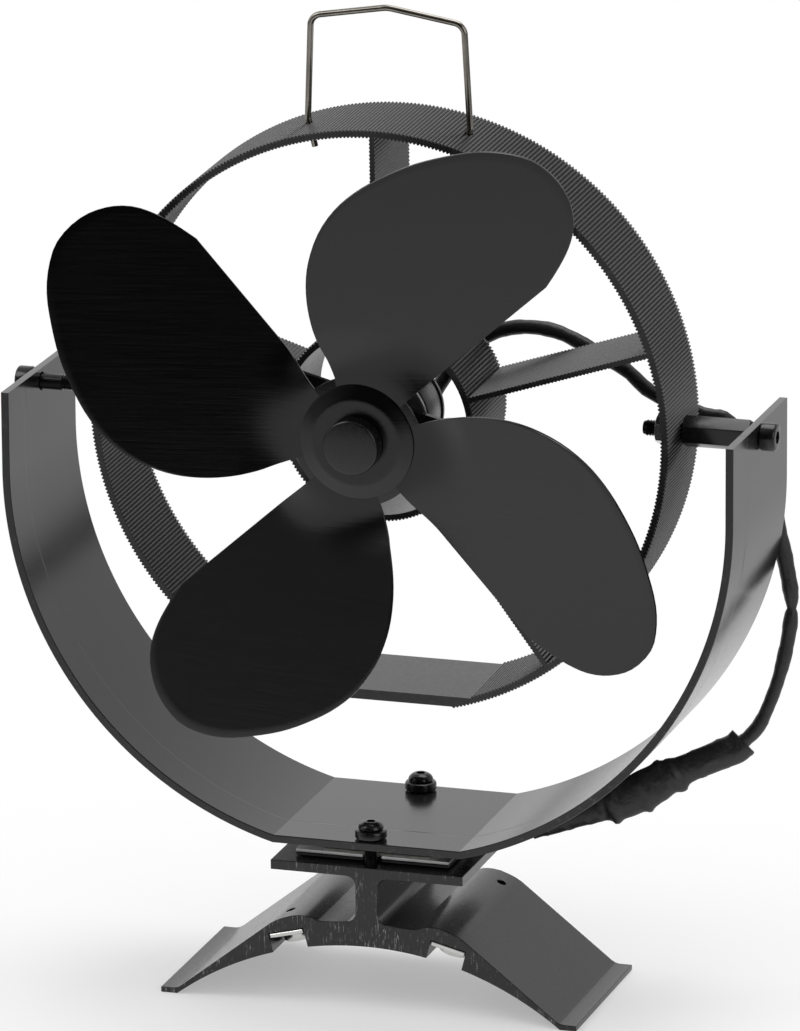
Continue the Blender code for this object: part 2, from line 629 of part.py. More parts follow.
def ring_window(index):
    """Outline of the window between one spoke and the next, with teeth that stand into the window."""
    half = SPOKE_THICK / 2 - TOOTH_HEIGHT / 2
    hub = HUB_RADIUS - TOOTH_HEIGHT
    inner = RING_INNER_RADIUS + TOOTH_HEIGHT
    first = math.pi / 2 + 2 * math.pi * index / SPOKE_COUNT
    second = first + 2 * math.pi / SPOKE_COUNT
    hub_turn = math.asin(half / hub)
    ring_turn = math.asin(half / inner)
    points = toothed_arc(hub, HUB_RADIUS, first + hub_turn, second - hub_turn)
    outer_end = (inner * math.cos(second - ring_turn), inner * math.sin(second - ring_turn))
    points += toothed_line(points.pop(), outer_end, TOOTH_HEIGHT / 2)
    flat_z = RING_FLAT_Z - RING_FLAT_THICK
    middle = (first + second) / 2
    if math.sin(middle) < -0.99:
        corner = math.acos(flat_z / inner)
        points += toothed_arc(inner, RING_INNER_RADIUS, second - ring_turn, middle + corner)
        points += toothed_arc(inner, RING_INNER_RADIUS, middle - corner, first + ring_turn)
    else:
        points += toothed_arc(inner, RING_INNER_RADIUS, second - ring_turn, first + ring_turn)
    points += toothed_line(points.pop(), points[0], TOOTH_HEIGHT / 2)
    return points


def handle_half_corners():
    """Corners of the right half of the handle in X and Z about the pivot, from the end inside the ring."""
    angle = math.acos(HANDLE_FOOT_X / RING_RADIUS)
    inside = RING_INNER_RADIUS - HANDLE_END_INSIDE
    bend = RING_RADIUS + WIRE_RADIUS * 2
    bend_point = (HANDLE_FOOT_X, bend * math.sin(angle))
    end_point = (inside * math.cos(angle), inside * math.sin(angle))
    return [end_point, bend_point, (HANDLE_CORNER_X, HANDLE_CORNER_Z)]


def handle_route():
    """Centre line of the handle: two bent legs and a top bar that rises to a soft bend in its middle."""
    right = handle_half_corners()
    apex = (0, HANDLE_APEX_Z)
    leg = fillet_path(right + [apex], WIRE_BEND_RADIUS, 4)[:-1]
    across = [right[-1], apex, (-right[-1][0], right[-1][1])]
    top = fillet_path(across, HANDLE_APEX_RADIUS, 3)[1:-1]
    other_leg = [Vector((-point.x, point.y)) for point in reversed(leg)]
    return [(point.x, 0, point.y) for point in leg + top + other_leg]


def make_ring(head):
    windows = [ring_window(index) for index in range(SPOKE_COUNT)]
    bore = arc_points((0, 0), HUB_BORE_RADIUS, 0, 2 * math.pi, 64)[:-1]
    mesh = flat_mesh("heat_sink_ring", [ring_outer_outline()] + windows + [bore], RING_DEPTH)
    ring = place("heat_sink_ring", mesh, head, (0, 0, 0), FACING_FRONT, BLACK_ANODISED)
    corners = handle_half_corners()
    for side in (1, -1):
        name = "ring_pivot_hole_" + SIDE_NAMES[side]
        drill = cylinder_mesh(name, BOLT_RADIUS + GAP, 6 * RING_WALL, 24)
        at = (side * RING_INNER_RADIUS, 0, 0)
        boolean(ring, place(name, drill, head, at, FACING_SIDE[side]))
        name = "ring_wire_hole_" + SIDE_NAMES[side]
        drill = cylinder_mesh(name, WIRE_RADIUS + GAP, 5 * RING_WALL, 16)
        lean = math.atan2(corners[1][0] - corners[0][0], corners[1][1] - corners[0][1])
        middle = (Vector(corners[0]) + Vector(corners[1])) / 2
        boolean(ring, place(name, drill, head, (side * middle.x, 0, middle.y), (0, side * lean, 0)))


def make_handle(head):
    mesh = tube_mesh("handle", handle_route(), WIRE_RADIUS)
    place("handle", mesh, head, material=BRIGHT_STEEL)


def chamfered_hexagon(name, length, head, location, rotation, material):
    """A hexagon bar with a through bore, cut back at both ends by a turned chamfer."""
    bar = place(name, hexagon_mesh(name, HEX_FLATS, length), head, location, rotation, material)
    corner = HEX_FLATS / math.sqrt(3) + GAP
    end = length / 2
    flat = HEX_FLATS / 2 - GAP / 2
    profile = [(0, end), (flat, end), (corner, end - HEX_CHAMFER), (corner, -end + HEX_CHAMFER),
               (flat, -end), (0, -end)]
    envelope = turned(name + "_envelope", profile, head, location, rotation, None, False, 24)
    boolean(bar, envelope, "INTERSECT")
    drill = cylinder_mesh(name + "_bore", BOLT_RADIUS + GAP, 2 * length, 24)
    boolean(bar, place(name + "_bore", drill, head, location, rotation))


def make_pivots(head):
    arm_inside = YOKE_RADIUS - YOKE_THICK
    for side in (1, -1):
        facing = FACING_SIDE[side]
        middle = side * (arm_inside + RING_RADIUS) / 2
        chamfered_hexagon("standoff_" + SIDE_NAMES[side], STANDOFF_LENGTH, head, (middle, 0, 0), facing,
                          BLACK_STEEL)
        bore = BOLT_RADIUS + GAP
        profile = [(WASHER_RADIUS, WASHER_THICK), (WASHER_RADIUS, 0), (bore, 0), (bore, WASHER_THICK)]
        name = "pivot_washer_" + SIDE_NAMES[side]
        at = (side * (RING_INNER_RADIUS - GAP), 0, 0)
        turned(name, profile, head, at, FACING_SIDE[-side], BRIGHT_STEEL, True, 24)
        middle = side * (RING_INNER_RADIUS - WASHER_THICK - 2 * GAP - NUT_HEIGHT / 2)
        name = "pivot_nut_" + SIDE_NAMES[side]
        chamfered_hexagon(name, NUT_HEIGHT, head, (middle, 0, 0), facing, BRIGHT_STEEL)
        edge = BOLT_HEAD_RADIUS / 8
        profile = [(0, BOLT_HEAD_HEIGHT), (BOLT_HEAD_RADIUS - edge, BOLT_HEAD_HEIGHT),
                   (BOLT_HEAD_RADIUS, BOLT_HEAD_HEIGHT - edge), (BOLT_HEAD_RADIUS, 0), (BOLT_RADIUS, 0),
                   (BOLT_RADIUS, edge - BOLT_LENGTH), (BOLT_RADIUS - edge, -BOLT_LENGTH), (0, -BOLT_LENGTH)]
        at = (side * (YOKE_RADIUS + GAP), 0, 0)
        name = "pivot_bolt_" + SIDE_NAMES[side]
        bolt = turned(name, profile, head, at, facing, BLACK_STEEL, False, 20)
        name = "pivot_socket_" + SIDE_NAMES[side]
        socket = hexagon_mesh(name, BOLT_SOCKET_FLATS, 2 * BOLT_SOCKET_DEPTH)
        at = (side * (YOKE_RADIUS + GAP + BOLT_HEAD_HEIGHT), 0, 0)
        boolean(bolt, place(name, socket, head, at, facing))


def make_motor(head):
    edge = MOTOR_EDGE
    bore = SHAFT_RADIUS + GAP
    boss_top = MOTOR_BOSS_HEIGHT
    back = -MOTOR_LENGTH
    depth = -MOTOR_LENGTH * 0.6
    profile = [(bore, boss_top), (MOTOR_BOSS_RADIUS, boss_top), (MOTOR_BOSS_RADIUS, 0),
               (MOTOR_RADIUS - edge, 0), (MOTOR_RADIUS - edge * 0.3, -edge * 0.3), (MOTOR_RADIUS, -edge),
               (MOTOR_RADIUS, back + MOTOR_RIM_LENGTH),
               (MOTOR_RADIUS + MOTOR_RIM, back + MOTOR_RIM_LENGTH * 0.8),
               (MOTOR_RADIUS + MOTOR_RIM, back + MOTOR_RIM_LENGTH * 0.2), (MOTOR_RADIUS, back), (0, back)]
    profile = [(0, depth), (bore, depth)] + profile
    turned("motor_can", profile, head, (0, -MOTOR_FRONT, 0), FACING_FRONT, BRIGHT_STEEL, False, 32)
    at = (0, GAP - MOTOR_BACK, 0)
    profile = [(0, 0), (END_CAP_RADIUS, 0), (END_CAP_RADIUS, -END_CAP_THICK * 0.6),
               (END_CAP_RADIUS - END_CAP_THICK * 0.4, -END_CAP_THICK), (0, -END_CAP_THICK)]
    turned("motor_end_cap", profile, head, at, FACING_FRONT, BLACK_PLASTIC, False, 20)
    back_y = GAP - MOTOR_BACK + END_CAP_THICK + GAP
    for side in (1, -1):
        name = "motor_terminal_" + SIDE_NAMES[side]
        mesh = box_mesh(name, (TERMINAL_WIDTH, TERMINAL_LENGTH, TERMINAL_THICK))
        place(name, mesh, head, (side * TERMINAL_OFFSET, back_y + TERMINAL_LENGTH / 2, 0), UPRIGHT, BRASS)


def bracket_outlines():
    """A bar across the hub's bore, with holes for the motor's boss and its two screws."""
    reach = HUB_BORE_RADIUS - GAP
    half_turn = math.asin(BRACKET_WIDTH / 2 / reach)
    bar = []
    holes = [arc_points((0, 0), MOTOR_BOSS_RADIUS + GAP, 0, 2 * math.pi, 24)[:-1]]
    for middle in (BRACKET_TURN, BRACKET_TURN + math.pi):
        bar += arc_points((0, 0), reach, middle - half_turn, middle + half_turn, 4)
        at = (BRACKET_SCREW_OFFSET * math.cos(middle), BRACKET_SCREW_OFFSET * math.sin(middle))
        holes.append(arc_points(at, BRACKET_SCREW_RADIUS, 0, 2 * math.pi, 12)[:-1])
    return [bar] + holes


def make_bracket(head):
    mesh = flat_mesh("motor_bracket", bracket_outlines(), BRACKET_THICK)
    at = (0, -MOTOR_FRONT - GAP - BRACKET_THICK / 2, 0)
    place("motor_bracket", mesh, head, at, FACING_FRONT, BLACK_STEEL)


def blade_offset(radius, past_edge):
    """How far the sheet stands behind its hub plane, at a radius and an angle past the straight edge."""
    share = min(1.0, max(0.0, (radius - BLADE_DISC_RADIUS) / (BLADE_TWIST_END - BLADE_DISC_RADIUS)))
    ease = share * share * (3 - 2 * share)
    across = radius * math.sin(past_edge)
    return ease * (BLADE_EDGE_BACK - math.tan(BLADE_PITCH) * across)


def blade_columns():
    """Angle past the straight edge and outer radius of each column of the sheet, blade first, then gap."""
    columns = [(math.radians(angle), share * BLADE_TIP_RADIUS) for angle, share in BLADE_OUTLINE]
    return columns, [math.radians(angle) for angle in BLADE_GAP_STEPS]


def blade_radii(outer):
    reach = outer - BLADE_DISC_RADIUS
    return [BLADE_DISC_RADIUS + reach * (row / BLADE_ROWS) for row in range(BLADE_ROWS + 1)]


def make_blade(rotor):
    """Polar grid for the disc and each blade, pitched and twisted, then given its thickness."""
    columns, gaps = blade_columns()
    bm = bmesh.new()

    def point(radius, past_edge, turn):
        angle = BLADE_START + turn + past_edge
        y = blade_offset(radius, past_edge)
        return bm.verts.new((radius * math.cos(angle), y, radius * math.sin(angle)))

    rim = []
    bore = []
    for blade in range(BLADE_COUNT):
        turn = 2 * math.pi * blade / BLADE_COUNT
        previous = None
        for past_edge, outer in columns:
            column = [point(radius, past_edge, turn) for radius in blade_radii(outer)]
            if previous:
                for row in range(BLADE_ROWS):
                    bm.faces.new((previous[row], column[row], column[row + 1], previous[row + 1]))
            previous = column
            rim.append(column[0])
            bore.append(point(BLADE_BORE_RADIUS, past_edge, turn))
        for past_edge in gaps:
            rim.append(point(BLADE_DISC_RADIUS, past_edge, turn))
            bore.append(point(BLADE_BORE_RADIUS, past_edge, turn))
    for index in range(len(rim)):
        after = (index + 1) % len(rim)
        bm.faces.new((bore[index], bore[after], rim[after], rim[index]))
    mesh = mesh_from_bmesh("fan_blade", bm)
    blade = place("fan_blade", mesh, rotor, material=BLADE_PAINT)
    thickness = blade.modifiers.new("sheet", "SOLIDIFY")
    thickness.thickness = BLADE_THICK
    thickness.offset = 0.0
    mesh.shade_smooth()


def make_hub(rotor):
    """Collar behind the sheet, coned disc in front of it, cap nut on the stud, and the motor's shaft."""
    seat = BLADE_THICK / 2 + GAP
    bore = SHAFT_RADIUS + GAP
    stud_end = NUT_CAP_FRONT - NUT_CAP_ROOF
    stud_floor = stud_end - STUD_WALL
    profile = [(0, stud_end), (COLLAR_STUD_RADIUS, stud_end), (COLLAR_STUD_RADIUS, DISH_FRONT),
               (COLLAR_SPIGOT_RADIUS, DISH_FRONT), (COLLAR_SPIGOT_RADIUS, -seat), (COLLAR_RADIUS, -seat),
               (COLLAR_RADIUS, -seat - COLLAR_BACK_THICK), (bore, -seat - COLLAR_BACK_THICK),
               (bore, stud_floor), (0, stud_floor)]
    turned("hub_collar", profile, rotor, (0, 0, 0), FACING_FRONT, BLACK_STEEL, False, 20)
    hole = COLLAR_SPIGOT_RADIUS + GAP
    profile = [(hole, DISH_FRONT), (DISH_RIM_RADIUS - DISH_EDGE, DISH_FRONT),
               (DISH_RIM_RADIUS + DISH_EDGE, DISH_FRONT - DISH_EDGE), (DISH_RADIUS, seat + DISH_EDGE),
               (DISH_RADIUS, seat), (hole, seat)]
    turned("hub_dish", profile, rotor, (0, 0, 0), FACING_FRONT, BLADE_PAINT, True, 36)
    base = DISH_FRONT + GAP
    thread = COLLAR_STUD_RADIUS + GAP
    roof = stud_end + GAP
    profile = [(0, NUT_CAP_FRONT), (NUT_CAP_RADIUS - NUT_CAP_EDGE, NUT_CAP_FRONT),
               (NUT_CAP_RADIUS, NUT_CAP_FRONT - NUT_CAP_EDGE), (NUT_CAP_RADIUS, base), (thread, base),
               (thread, roof), (0, roof)]
    turned("hub_nut", profile, rotor, (0, 0, 0), FACING_FRONT, BLACK_PLASTIC, False, 32)
    rear = MOTOR_FRONT - MOTOR_LENGTH * 0.6 + GAP - BLADE_PLANE
    front = stud_floor - GAP
    mesh = cylinder_mesh("motor_shaft", SHAFT_RADIUS, front - rear, 20)
    place("motor_shaft", mesh, rotor, (0, -(front + rear) / 2, 0), FACING_FRONT, BRIGHT_STEEL)


def splice_radius(share):
    """Radius of the splice at a share of its length, from its table."""
    for (before, first), (after, second) in zip(SPLICE_RADII, SPLICE_RADII[1:]):
        if share <= after:
            return first + (second - first) * (share - before) / (after - before)
    return SPLICE_RADII[-1][1]


def make_lead(stand, head):
    """The lead in the stretches that its joint needs, with the heat-shrunk splice and the module's tail."""
    trim = 0.8 * GAP
    into_head = Matrix.Rotation(-HEAD_TILT, 3, "X")
    pivot = Vector((0, 0, PIVOT_Z))
    route = trimmed(smooth_route(LEAD_HEAD_POINTS, LEAD_SAMPLE), trim)
    mesh = tube_mesh("lead_head", [into_head @ (point - pivot) for point in route], LEAD_RADIUS)
    place("lead_head", mesh, head, material=BLACK_SLEEVE)
    parts = [("lead_slack", LEAD_SLACK_POINTS, LEAD_RADIUS), ("lead_tail", TAIL_POINTS, TAIL_RADIUS)]
    for name, points, radius in parts:
        route = trimmed(smooth_route(points, LEAD_SAMPLE), trim)
        place(name, tube_mesh(name, route, radius), stand, material=BLACK_SLEEVE)
    route = trimmed(smooth_route(SPLICE_POINTS, LEAD_SAMPLE), trim)
    last = len(route) - 1
    radii = [splice_radius(index / last) / SPLICE_RADIUS for index in range(last + 1)]
    place("lead_splice", tube_mesh("lead_splice", route, SPLICE_RADIUS, radii), stand, material=BLACK_SLEEVE)


def trimmed(route, amount):
    """Draw both ends of a route in, so that it clears what it meets."""
    route = list(route)
    route[0] = route[0] + (route[1] - route[0]).normalized() * amount
    route[-1] = route[-1] + (route[-2] - route[-1]).normalized() * amount
    return route


def foremost():
    """Distance from the pivot plane to the foremost point of the propeller and its hub, as they stand."""
    depsgraph = bpy.context.evaluated_depsgraph_get()
    least = 0.0
    for name in ("fan_blade", "hub_nut"):
        obj = bpy.data.objects[name].evaluated_get(depsgraph)
        least = min(least, min((obj.matrix_world @ vert.co).y for vert in obj.data.vertices))
    return -least


def build():
    stand = empty("stand_origin", None, (0, 0, 0))
    head = empty("head_pivot", stand, (0, 0, PIVOT_Z))
    head.rotation_euler = (HEAD_TILT, 0, 0)
    rotor = empty("rotor_axis", head, (0, -BLADE_PLANE, 0))
    make_foot(stand)
    make_keepers_and_magnets(stand)
    make_stack(stand)
    make_yoke(stand)
    make_clamps(stand)
    make_ring(head)
    make_handle(head)
    make_pivots(head)
    make_motor(head)
    make_bracket(head)
    make_blade(rotor)
    make_hub(rotor)
    make_lead(stand, head)
    stand.location.y = (foremost() - DEPTH / 2) / 2


build()
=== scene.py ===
"""Looks of the flue pipe fan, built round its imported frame. Metres, +Z up, the blades face -Y."""
import json
import math

import bmesh
import bpy
from mathutils import Matrix, Vector, noise


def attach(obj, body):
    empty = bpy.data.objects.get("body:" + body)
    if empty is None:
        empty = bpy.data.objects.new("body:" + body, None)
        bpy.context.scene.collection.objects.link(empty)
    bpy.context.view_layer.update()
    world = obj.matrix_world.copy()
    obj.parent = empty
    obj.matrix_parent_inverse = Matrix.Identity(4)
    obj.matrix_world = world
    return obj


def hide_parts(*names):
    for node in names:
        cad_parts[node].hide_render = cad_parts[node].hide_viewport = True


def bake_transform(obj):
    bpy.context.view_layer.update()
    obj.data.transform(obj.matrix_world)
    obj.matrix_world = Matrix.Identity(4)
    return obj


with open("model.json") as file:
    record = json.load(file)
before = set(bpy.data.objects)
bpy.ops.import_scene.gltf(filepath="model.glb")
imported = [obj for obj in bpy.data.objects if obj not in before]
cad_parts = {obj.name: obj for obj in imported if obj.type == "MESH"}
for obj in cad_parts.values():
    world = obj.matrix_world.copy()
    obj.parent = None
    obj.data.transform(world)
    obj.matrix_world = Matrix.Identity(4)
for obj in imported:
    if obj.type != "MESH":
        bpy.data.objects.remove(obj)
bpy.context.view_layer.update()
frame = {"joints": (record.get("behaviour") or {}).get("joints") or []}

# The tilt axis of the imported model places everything
PIVOT = Vector(frame["joints"][0]["pos_m"])
SHIFT = PIVOT.y
TAU = 2 * math.pi
GAP = 0.0003  # between neighbouring pieces
SIDES = ((1, "right"), (-1, "left"))
ENDS = ((-1, "front"), (1, "rear"))
FORWARD = (0, -1, 0)
UPWARD = (0, 0, 1)
HEAD_TILT = math.radians(1.6)
TILTED = Matrix.Translation(PIVOT) @ Matrix.Rotation(HEAD_TILT, 4, "X") @ Matrix.Translation(-PIVOT)

# Foot
DEPTH = 0.05
FOOT_HALF_WIDTH = 0.0545
FOOT_TOP_Z = 0.0377
TOP_PLATE_HALF = 0.0251
TOP_PLATE_THICK = 0.0025
WEB_HALF = 0.0029
WEB_FILLET = 0.0025
ARCH_HALF_WIDTH = 0.0502
ARCH_RISE = 0.017
SADDLE_TOP_Z = 0.0232
LIP_THICK = 0.0014
SLOT_ANGLE = math.radians(14.1)
SLOT_WIDTH = 0.0094
SLOT_DEPTH = 0.0049
ARCH_RADIUS = (ARCH_HALF_WIDTH ** 2 + ARCH_RISE ** 2) / (2 * ARCH_RISE)
ARCH_CENTRE_Z = ARCH_RISE - ARCH_RADIUS
# The half outline of the foot's shoulder, in millimetres
SHOULDER = [
    (6, 23.15), (9, 22.85), (11.5, 22.7), (12.8, 22.75), (14, 23.18), (15.1, 23.55), (16.4, 23.68),
    (18, 23.65), (19.8, 23.38), (22.2, 22.55), (23.7, 21.9), (25.4, 20.88),
]
WING_HOLE_Y = 0.018
WING_HOLE_RADIUS = 0.0012
CROSS_HOLE = (0, -0.0047, 0.0287)
CROSS_HOLE_RADIUS = 0.0008

# Magnets and stack
KEEPER_THICK = 0.001
MAGNET_Y = 0.0155
MAGNET_RADIUS = 0.0043
MAGNET_THICK = 0.0029
PLATE_HALF = 0.02
GRAPHITE_Z = (0.038, 0.0385)
SPREADER_Z = (0.0388, 0.0395)
MODULE_Z = 0.0398
CERAMIC_HALF = (0.015, 0.017)
PELLETS_HALF = (0.0142, 0.0162)
CERAMIC_THICK = 0.0006
PELLETS_THICK = 0.0009
CLAMP_Y = 0.0208
CLAMP_RADIUS = 0.0016
CLAMP_GRIP = 0.01  # of the clamp screws in the foot
CLAMP_HEAD = 0.0032
CLAMP_RISE = 0.0021
CLAMP_SOCKET = 0.0022
PLATE_HOLE = 0.0026
BUSH_RADIUS = 0.004
BUSH_TOP = 0.0022
BUSH_NECK = 0.0028
YOKE_HOLE = 0.0031

# Yoke
YOKE_RADIUS = 0.0945
YOKE_THICK = 0.002
YOKE_FLAT_HALF = 0.0245
YOKE_UNDER_Z = 0.0422
YOKE_FLOOR_Z = YOKE_UNDER_Z + YOKE_THICK
YOKE_TOP_Z = 0.1533
YOKE_CENTRE_Z = YOKE_UNDER_Z + math.sqrt(YOKE_RADIUS ** 2 - YOKE_FLAT_HALF ** 2)
YOKE_LINE_Y = 0.0125
YOKE_LINE_HALF = 0.00022

# Ring
RING_RADIUS = 0.0749
RING_WALL = 0.002
RING_INNER = RING_RADIUS - RING_WALL
RING_DEPTH = 0.028
RING_FLAT_Z = 0.0721
RING_FLAT_THICK = 0.0026
SPOKES = 5
SPOKE_THICK = 0.0021
HUB_RADIUS = 0.0252
HUB_BORE = 0.0235
TOOTH_PITCH = 0.00096
TOOTH_HEIGHT = 0.00046
TOOTH_TIP = (0.38, 0.62)  # where a tooth's flat tip starts and ends

# Handle, about the pivot
HANDLE_FOOT_X = 0.0209
HANDLE_CORNER = (0.0197, 0.0993)
HANDLE_APEX = (0.0, 0.1025)
HANDLE_HOOK = 0.0042
HANDLE_BEND = 0.003
APEX_BEND = 0.008
WIRE = 0.0008

# Pivots
PIVOT_FLATS = 0.007
PIVOT_HOLE = 0.0023
BOLT_RADIUS = 0.002
BOLT_LENGTH = 0.03
BOLT_HEAD = 0.0035
BOLT_HEAD_HEIGHT = 0.004
BOLT_SOCKET = 0.003
WASHER_RADIUS = 0.0045
WASHER_THICK = 0.0008
NUT_HEIGHT = 0.0032
THREAD_PITCH = 0.0007

# Motor, with heights toward the blades from the pivot
CAN_RADIUS = 0.0122
CAN_FRONT = 0.0098
CAN_LENGTH = 0.0123
CAN_BORE = 0.0013
BACK_RADIUS = 0.0108
BACK_RIM = 0.0012
TAB_X = 0.0075
TAB_HALF = 0.0011
STRAP_HALF = 0.0055
STRAP_TURN = math.radians(165)
STRAP_THICK = 0.0014
STRAP_Y = -0.0108
STRAP_BORE = 0.0034
STRAP_HOLE_AT = 0.008

# Fan
BLADE_Y = -0.029
BLADE_THICK = 0.0008
DISC_RADIUS = 0.0165
BLADE_START = math.radians(41.3)
BLADE_TIP = 0.0888
BLADE_PITCH = math.radians(15.9)
BLADE_SETBACK = 0.0035
TWIST_END = 0.03
HUB_HOLE = 0.0043
SLEEVE_TOP = 0.0047  # of the stud that carries the cap nut
DISH_TOP = 0.0019
DISH_RADIUS = 0.0145
CAP_RADIUS = 0.007
CAP_TOP = 0.0067
SHAFT_RADIUS = 0.001
# Degrees past a blade's edge and share of its tip radius
BLADE_OUTLINE = [
    (0, 0.715), (1.5, 0.786), (3, 0.847), (5, 0.903), (8, 0.951), (12, 0.987), (17, 1),
    (21, 0.984), (25, 0.955), (30, 0.905), (35, 0.856), (40, 0.804), (45, 0.753),
    (50, 0.696), (55, 0.626), (59, 0.557), (62, 0.496), (65, 0.418), (67, 0.346), (68, 0.284),
]

# Lead, with the route of the CAD solids. The tables are in millimetres.
LEAD_RADIUS = 0.0019
TAIL_RADIUS = 0.0009
LEAD_POINTS = [
    (4, 4.6, 146), (4.5, 8, 146.8), (6.2, 12.5, 150.2), (9, 16.2, 155.2), (13, 18.2, 160.8),
    (18.5, 18.7, 165), (24.5, 18.7, 167.5), (30, 18.7, 168.2), (35.5, 18.7, 167.8), (40.3, 18.7, 166.3),
    (47.5, 18.7, 162.8), (54.7, 18.7, 159), (60, 18.8, 154.5), (65.5, 19, 151.6), (71.5, 19, 150.4),
    (75, 19, 149.3), (77.5, 19, 149), (80, 19, 148.7), (83.2, 21.6, 144.2), (86.6, 25.6, 137),
    (89.6, 28.4, 127), (91.2, 28.5, 119), (93.2, 28.5, 110), (94.6, 28.2, 103), (95, 28, 98),
    (94.2, 27.2, 89.5), (92, 25.7, 79), (88.6, 24, 69.5), (86.2, 23, 65.9), (84.3, 22, 64.1),
]
# Height and radius of the sleeve, with a pinch
LEAD_RADII = [
    (60, 1.85), (68, 1.8), (76, 1.62), (86, 1.85), (94.5, 1.88), (96.7, 1.7), (98.2, 1.15), (99.8, 1.7),
    (103, 2), (110, 2.1), (120, 2), (135, 1.85), (200, 1.85),
]
SPLICE_POINTS = [
    (84.3, 22, 64.1), (82.4, 21, 62.3), (78.5, 19.6, 60.6), (68.2, 17, 55.7), (57.3, 14, 49.7),
    (50.2, 12.5, 46.6), (40.4, 11, 42.1), (34.5, 10.3, 39.6), (32.8, 10, 38.8),
]
# Share of the splice's length and radius
SPLICE_RADII = [
    (0, 3.9), (0.15, 3.7), (0.25, 3.6), (0.3, 3.8), (0.33, 4.5), (0.36, 4.2), (0.4, 4.9), (0.45, 5),
    (0.55, 4.8), (0.63, 4.5), (0.65, 3.8), (0.67, 3.3), (0.75, 2.8), (0.85, 2.2), (0.95, 1.6), (1, 1.4),
]
# Bumps of the joined wires under the splice: share of its length, degrees round it (90 down, 180 front,
# 270 up), height and spread along it
SPLICE_BUMPS = [
    (0.37, 268, 1, 0.018), (0.31, 92, 0.8, 0.018), (0.33, 178, 0.6, 0.016), (0.48, 88, 1, 0.018),
    (0.46, 190, 0.6, 0.01), (0.56, 262, 0.6, 0.024), (0.62, 96, 0.9, 0.02), (0.6, 205, 0.7, 0.016),
    (0.66, 160, -0.6, 0.016), (0.72, 265, 0.5, 0.014), (0.41, 175, -0.4, 0.014),
]
SPLICE_SIDES = 40
BUMP_TURN = 42.0
TAIL_POINTS = [
    (32.8, 10, 38.8), (30.9, 9.4, 38.1), (28, 8.2, 38.7), (25.2, 6.8, 39.6), (23, 5.8, 40.1),
    (20.8, 5.2, 40.1),
]

# Stage, in metres, and camera, in pixels of the photograph
FLOOR_HALF = 6.0
FLOOR_DROP = 0.00005
ROOM_LIGHT = 0.6
DARK_SIDE = (0.12, -0.99, 0.08)
LIT_POINT = (0, 0, 0.13)
PHOTO_WIDTH = 800.0
PHOTO_HEIGHT = 1031.0
FOCAL_PIXELS = 9569.29
OPTICAL_CENTRE = (393.177, 520.145)
SENSOR = 36.0
CAMERA_AT = (0.694107, -2.182864, 0.778745)
CAMERA_RIGHT = (0.9535, 0.30131, -0.00661)
CAMERA_UP = (-0.07711, 0.26509, 0.96114)


# Materials

def triple(value):
    """Three values as they are, or a number thrice."""
    return value if isinstance(value, tuple) else (value,) * 3


class Tree:
    """A node tree and short ways to add to it."""

    def __init__(self, tree):
        self.tree = tree

    def node(self, kind, **values):
        node = self.tree.nodes.new(kind)
        for key, value in values.items():
            setattr(node, key, value)
        return node

    def link(self, source, target):
        self.tree.links.new(source, target)

    def feed(self, sockets, values):
        """Give each input a value, or a link from an output."""
        for socket, value in zip(sockets, values):
            if isinstance(value, bpy.types.NodeSocket):
                self.link(value, socket)
            else:
                socket.default_value = value

    def fill(self, node, **values):
        """Feed inputs by their names, with _ for a space."""
        self.feed([node.inputs[key.replace("_", " ")] for key in values], values.values())

    def place(self, space="Object"):
        return self.node("ShaderNodeTexCoord").outputs[space]

    def split(self, vector):
        """X, Y and Z of a vector."""
        node = self.node("ShaderNodeSeparateXYZ")
        self.fill(node, Vector=vector)
        return node.outputs

    def compare(self, operation, vector, fixed):
        """Distance or dot product of a vector and a fixed one."""
        node = self.node("ShaderNodeVectorMath", operation=operation)
        self.feed(node.inputs, (vector, fixed))
        return node.outputs["Value"]

    def maths(self, operation, *values):
        node = self.node("ShaderNodeMath", operation=operation)
        self.feed(node.inputs, values)
        return node.outputs[0]

    def span(self, value, low, high, to_low, to_high):
        """Map a value from one range to another, clamped."""
        node = self.node("ShaderNodeMapRange")
        self.fill(node, Value=value, From_Min=low, From_Max=high, To_Min=to_low, To_Max=to_high)
        return node.outputs["Result"]

    def between(self, share, first, second):
        """Mix two numbers by a share."""
        node = self.node("ShaderNodeMix", data_type="FLOAT")
        self.feed([node.inputs[0], node.inputs[2], node.inputs[3]], (share, first, second))
        return node.outputs[0]


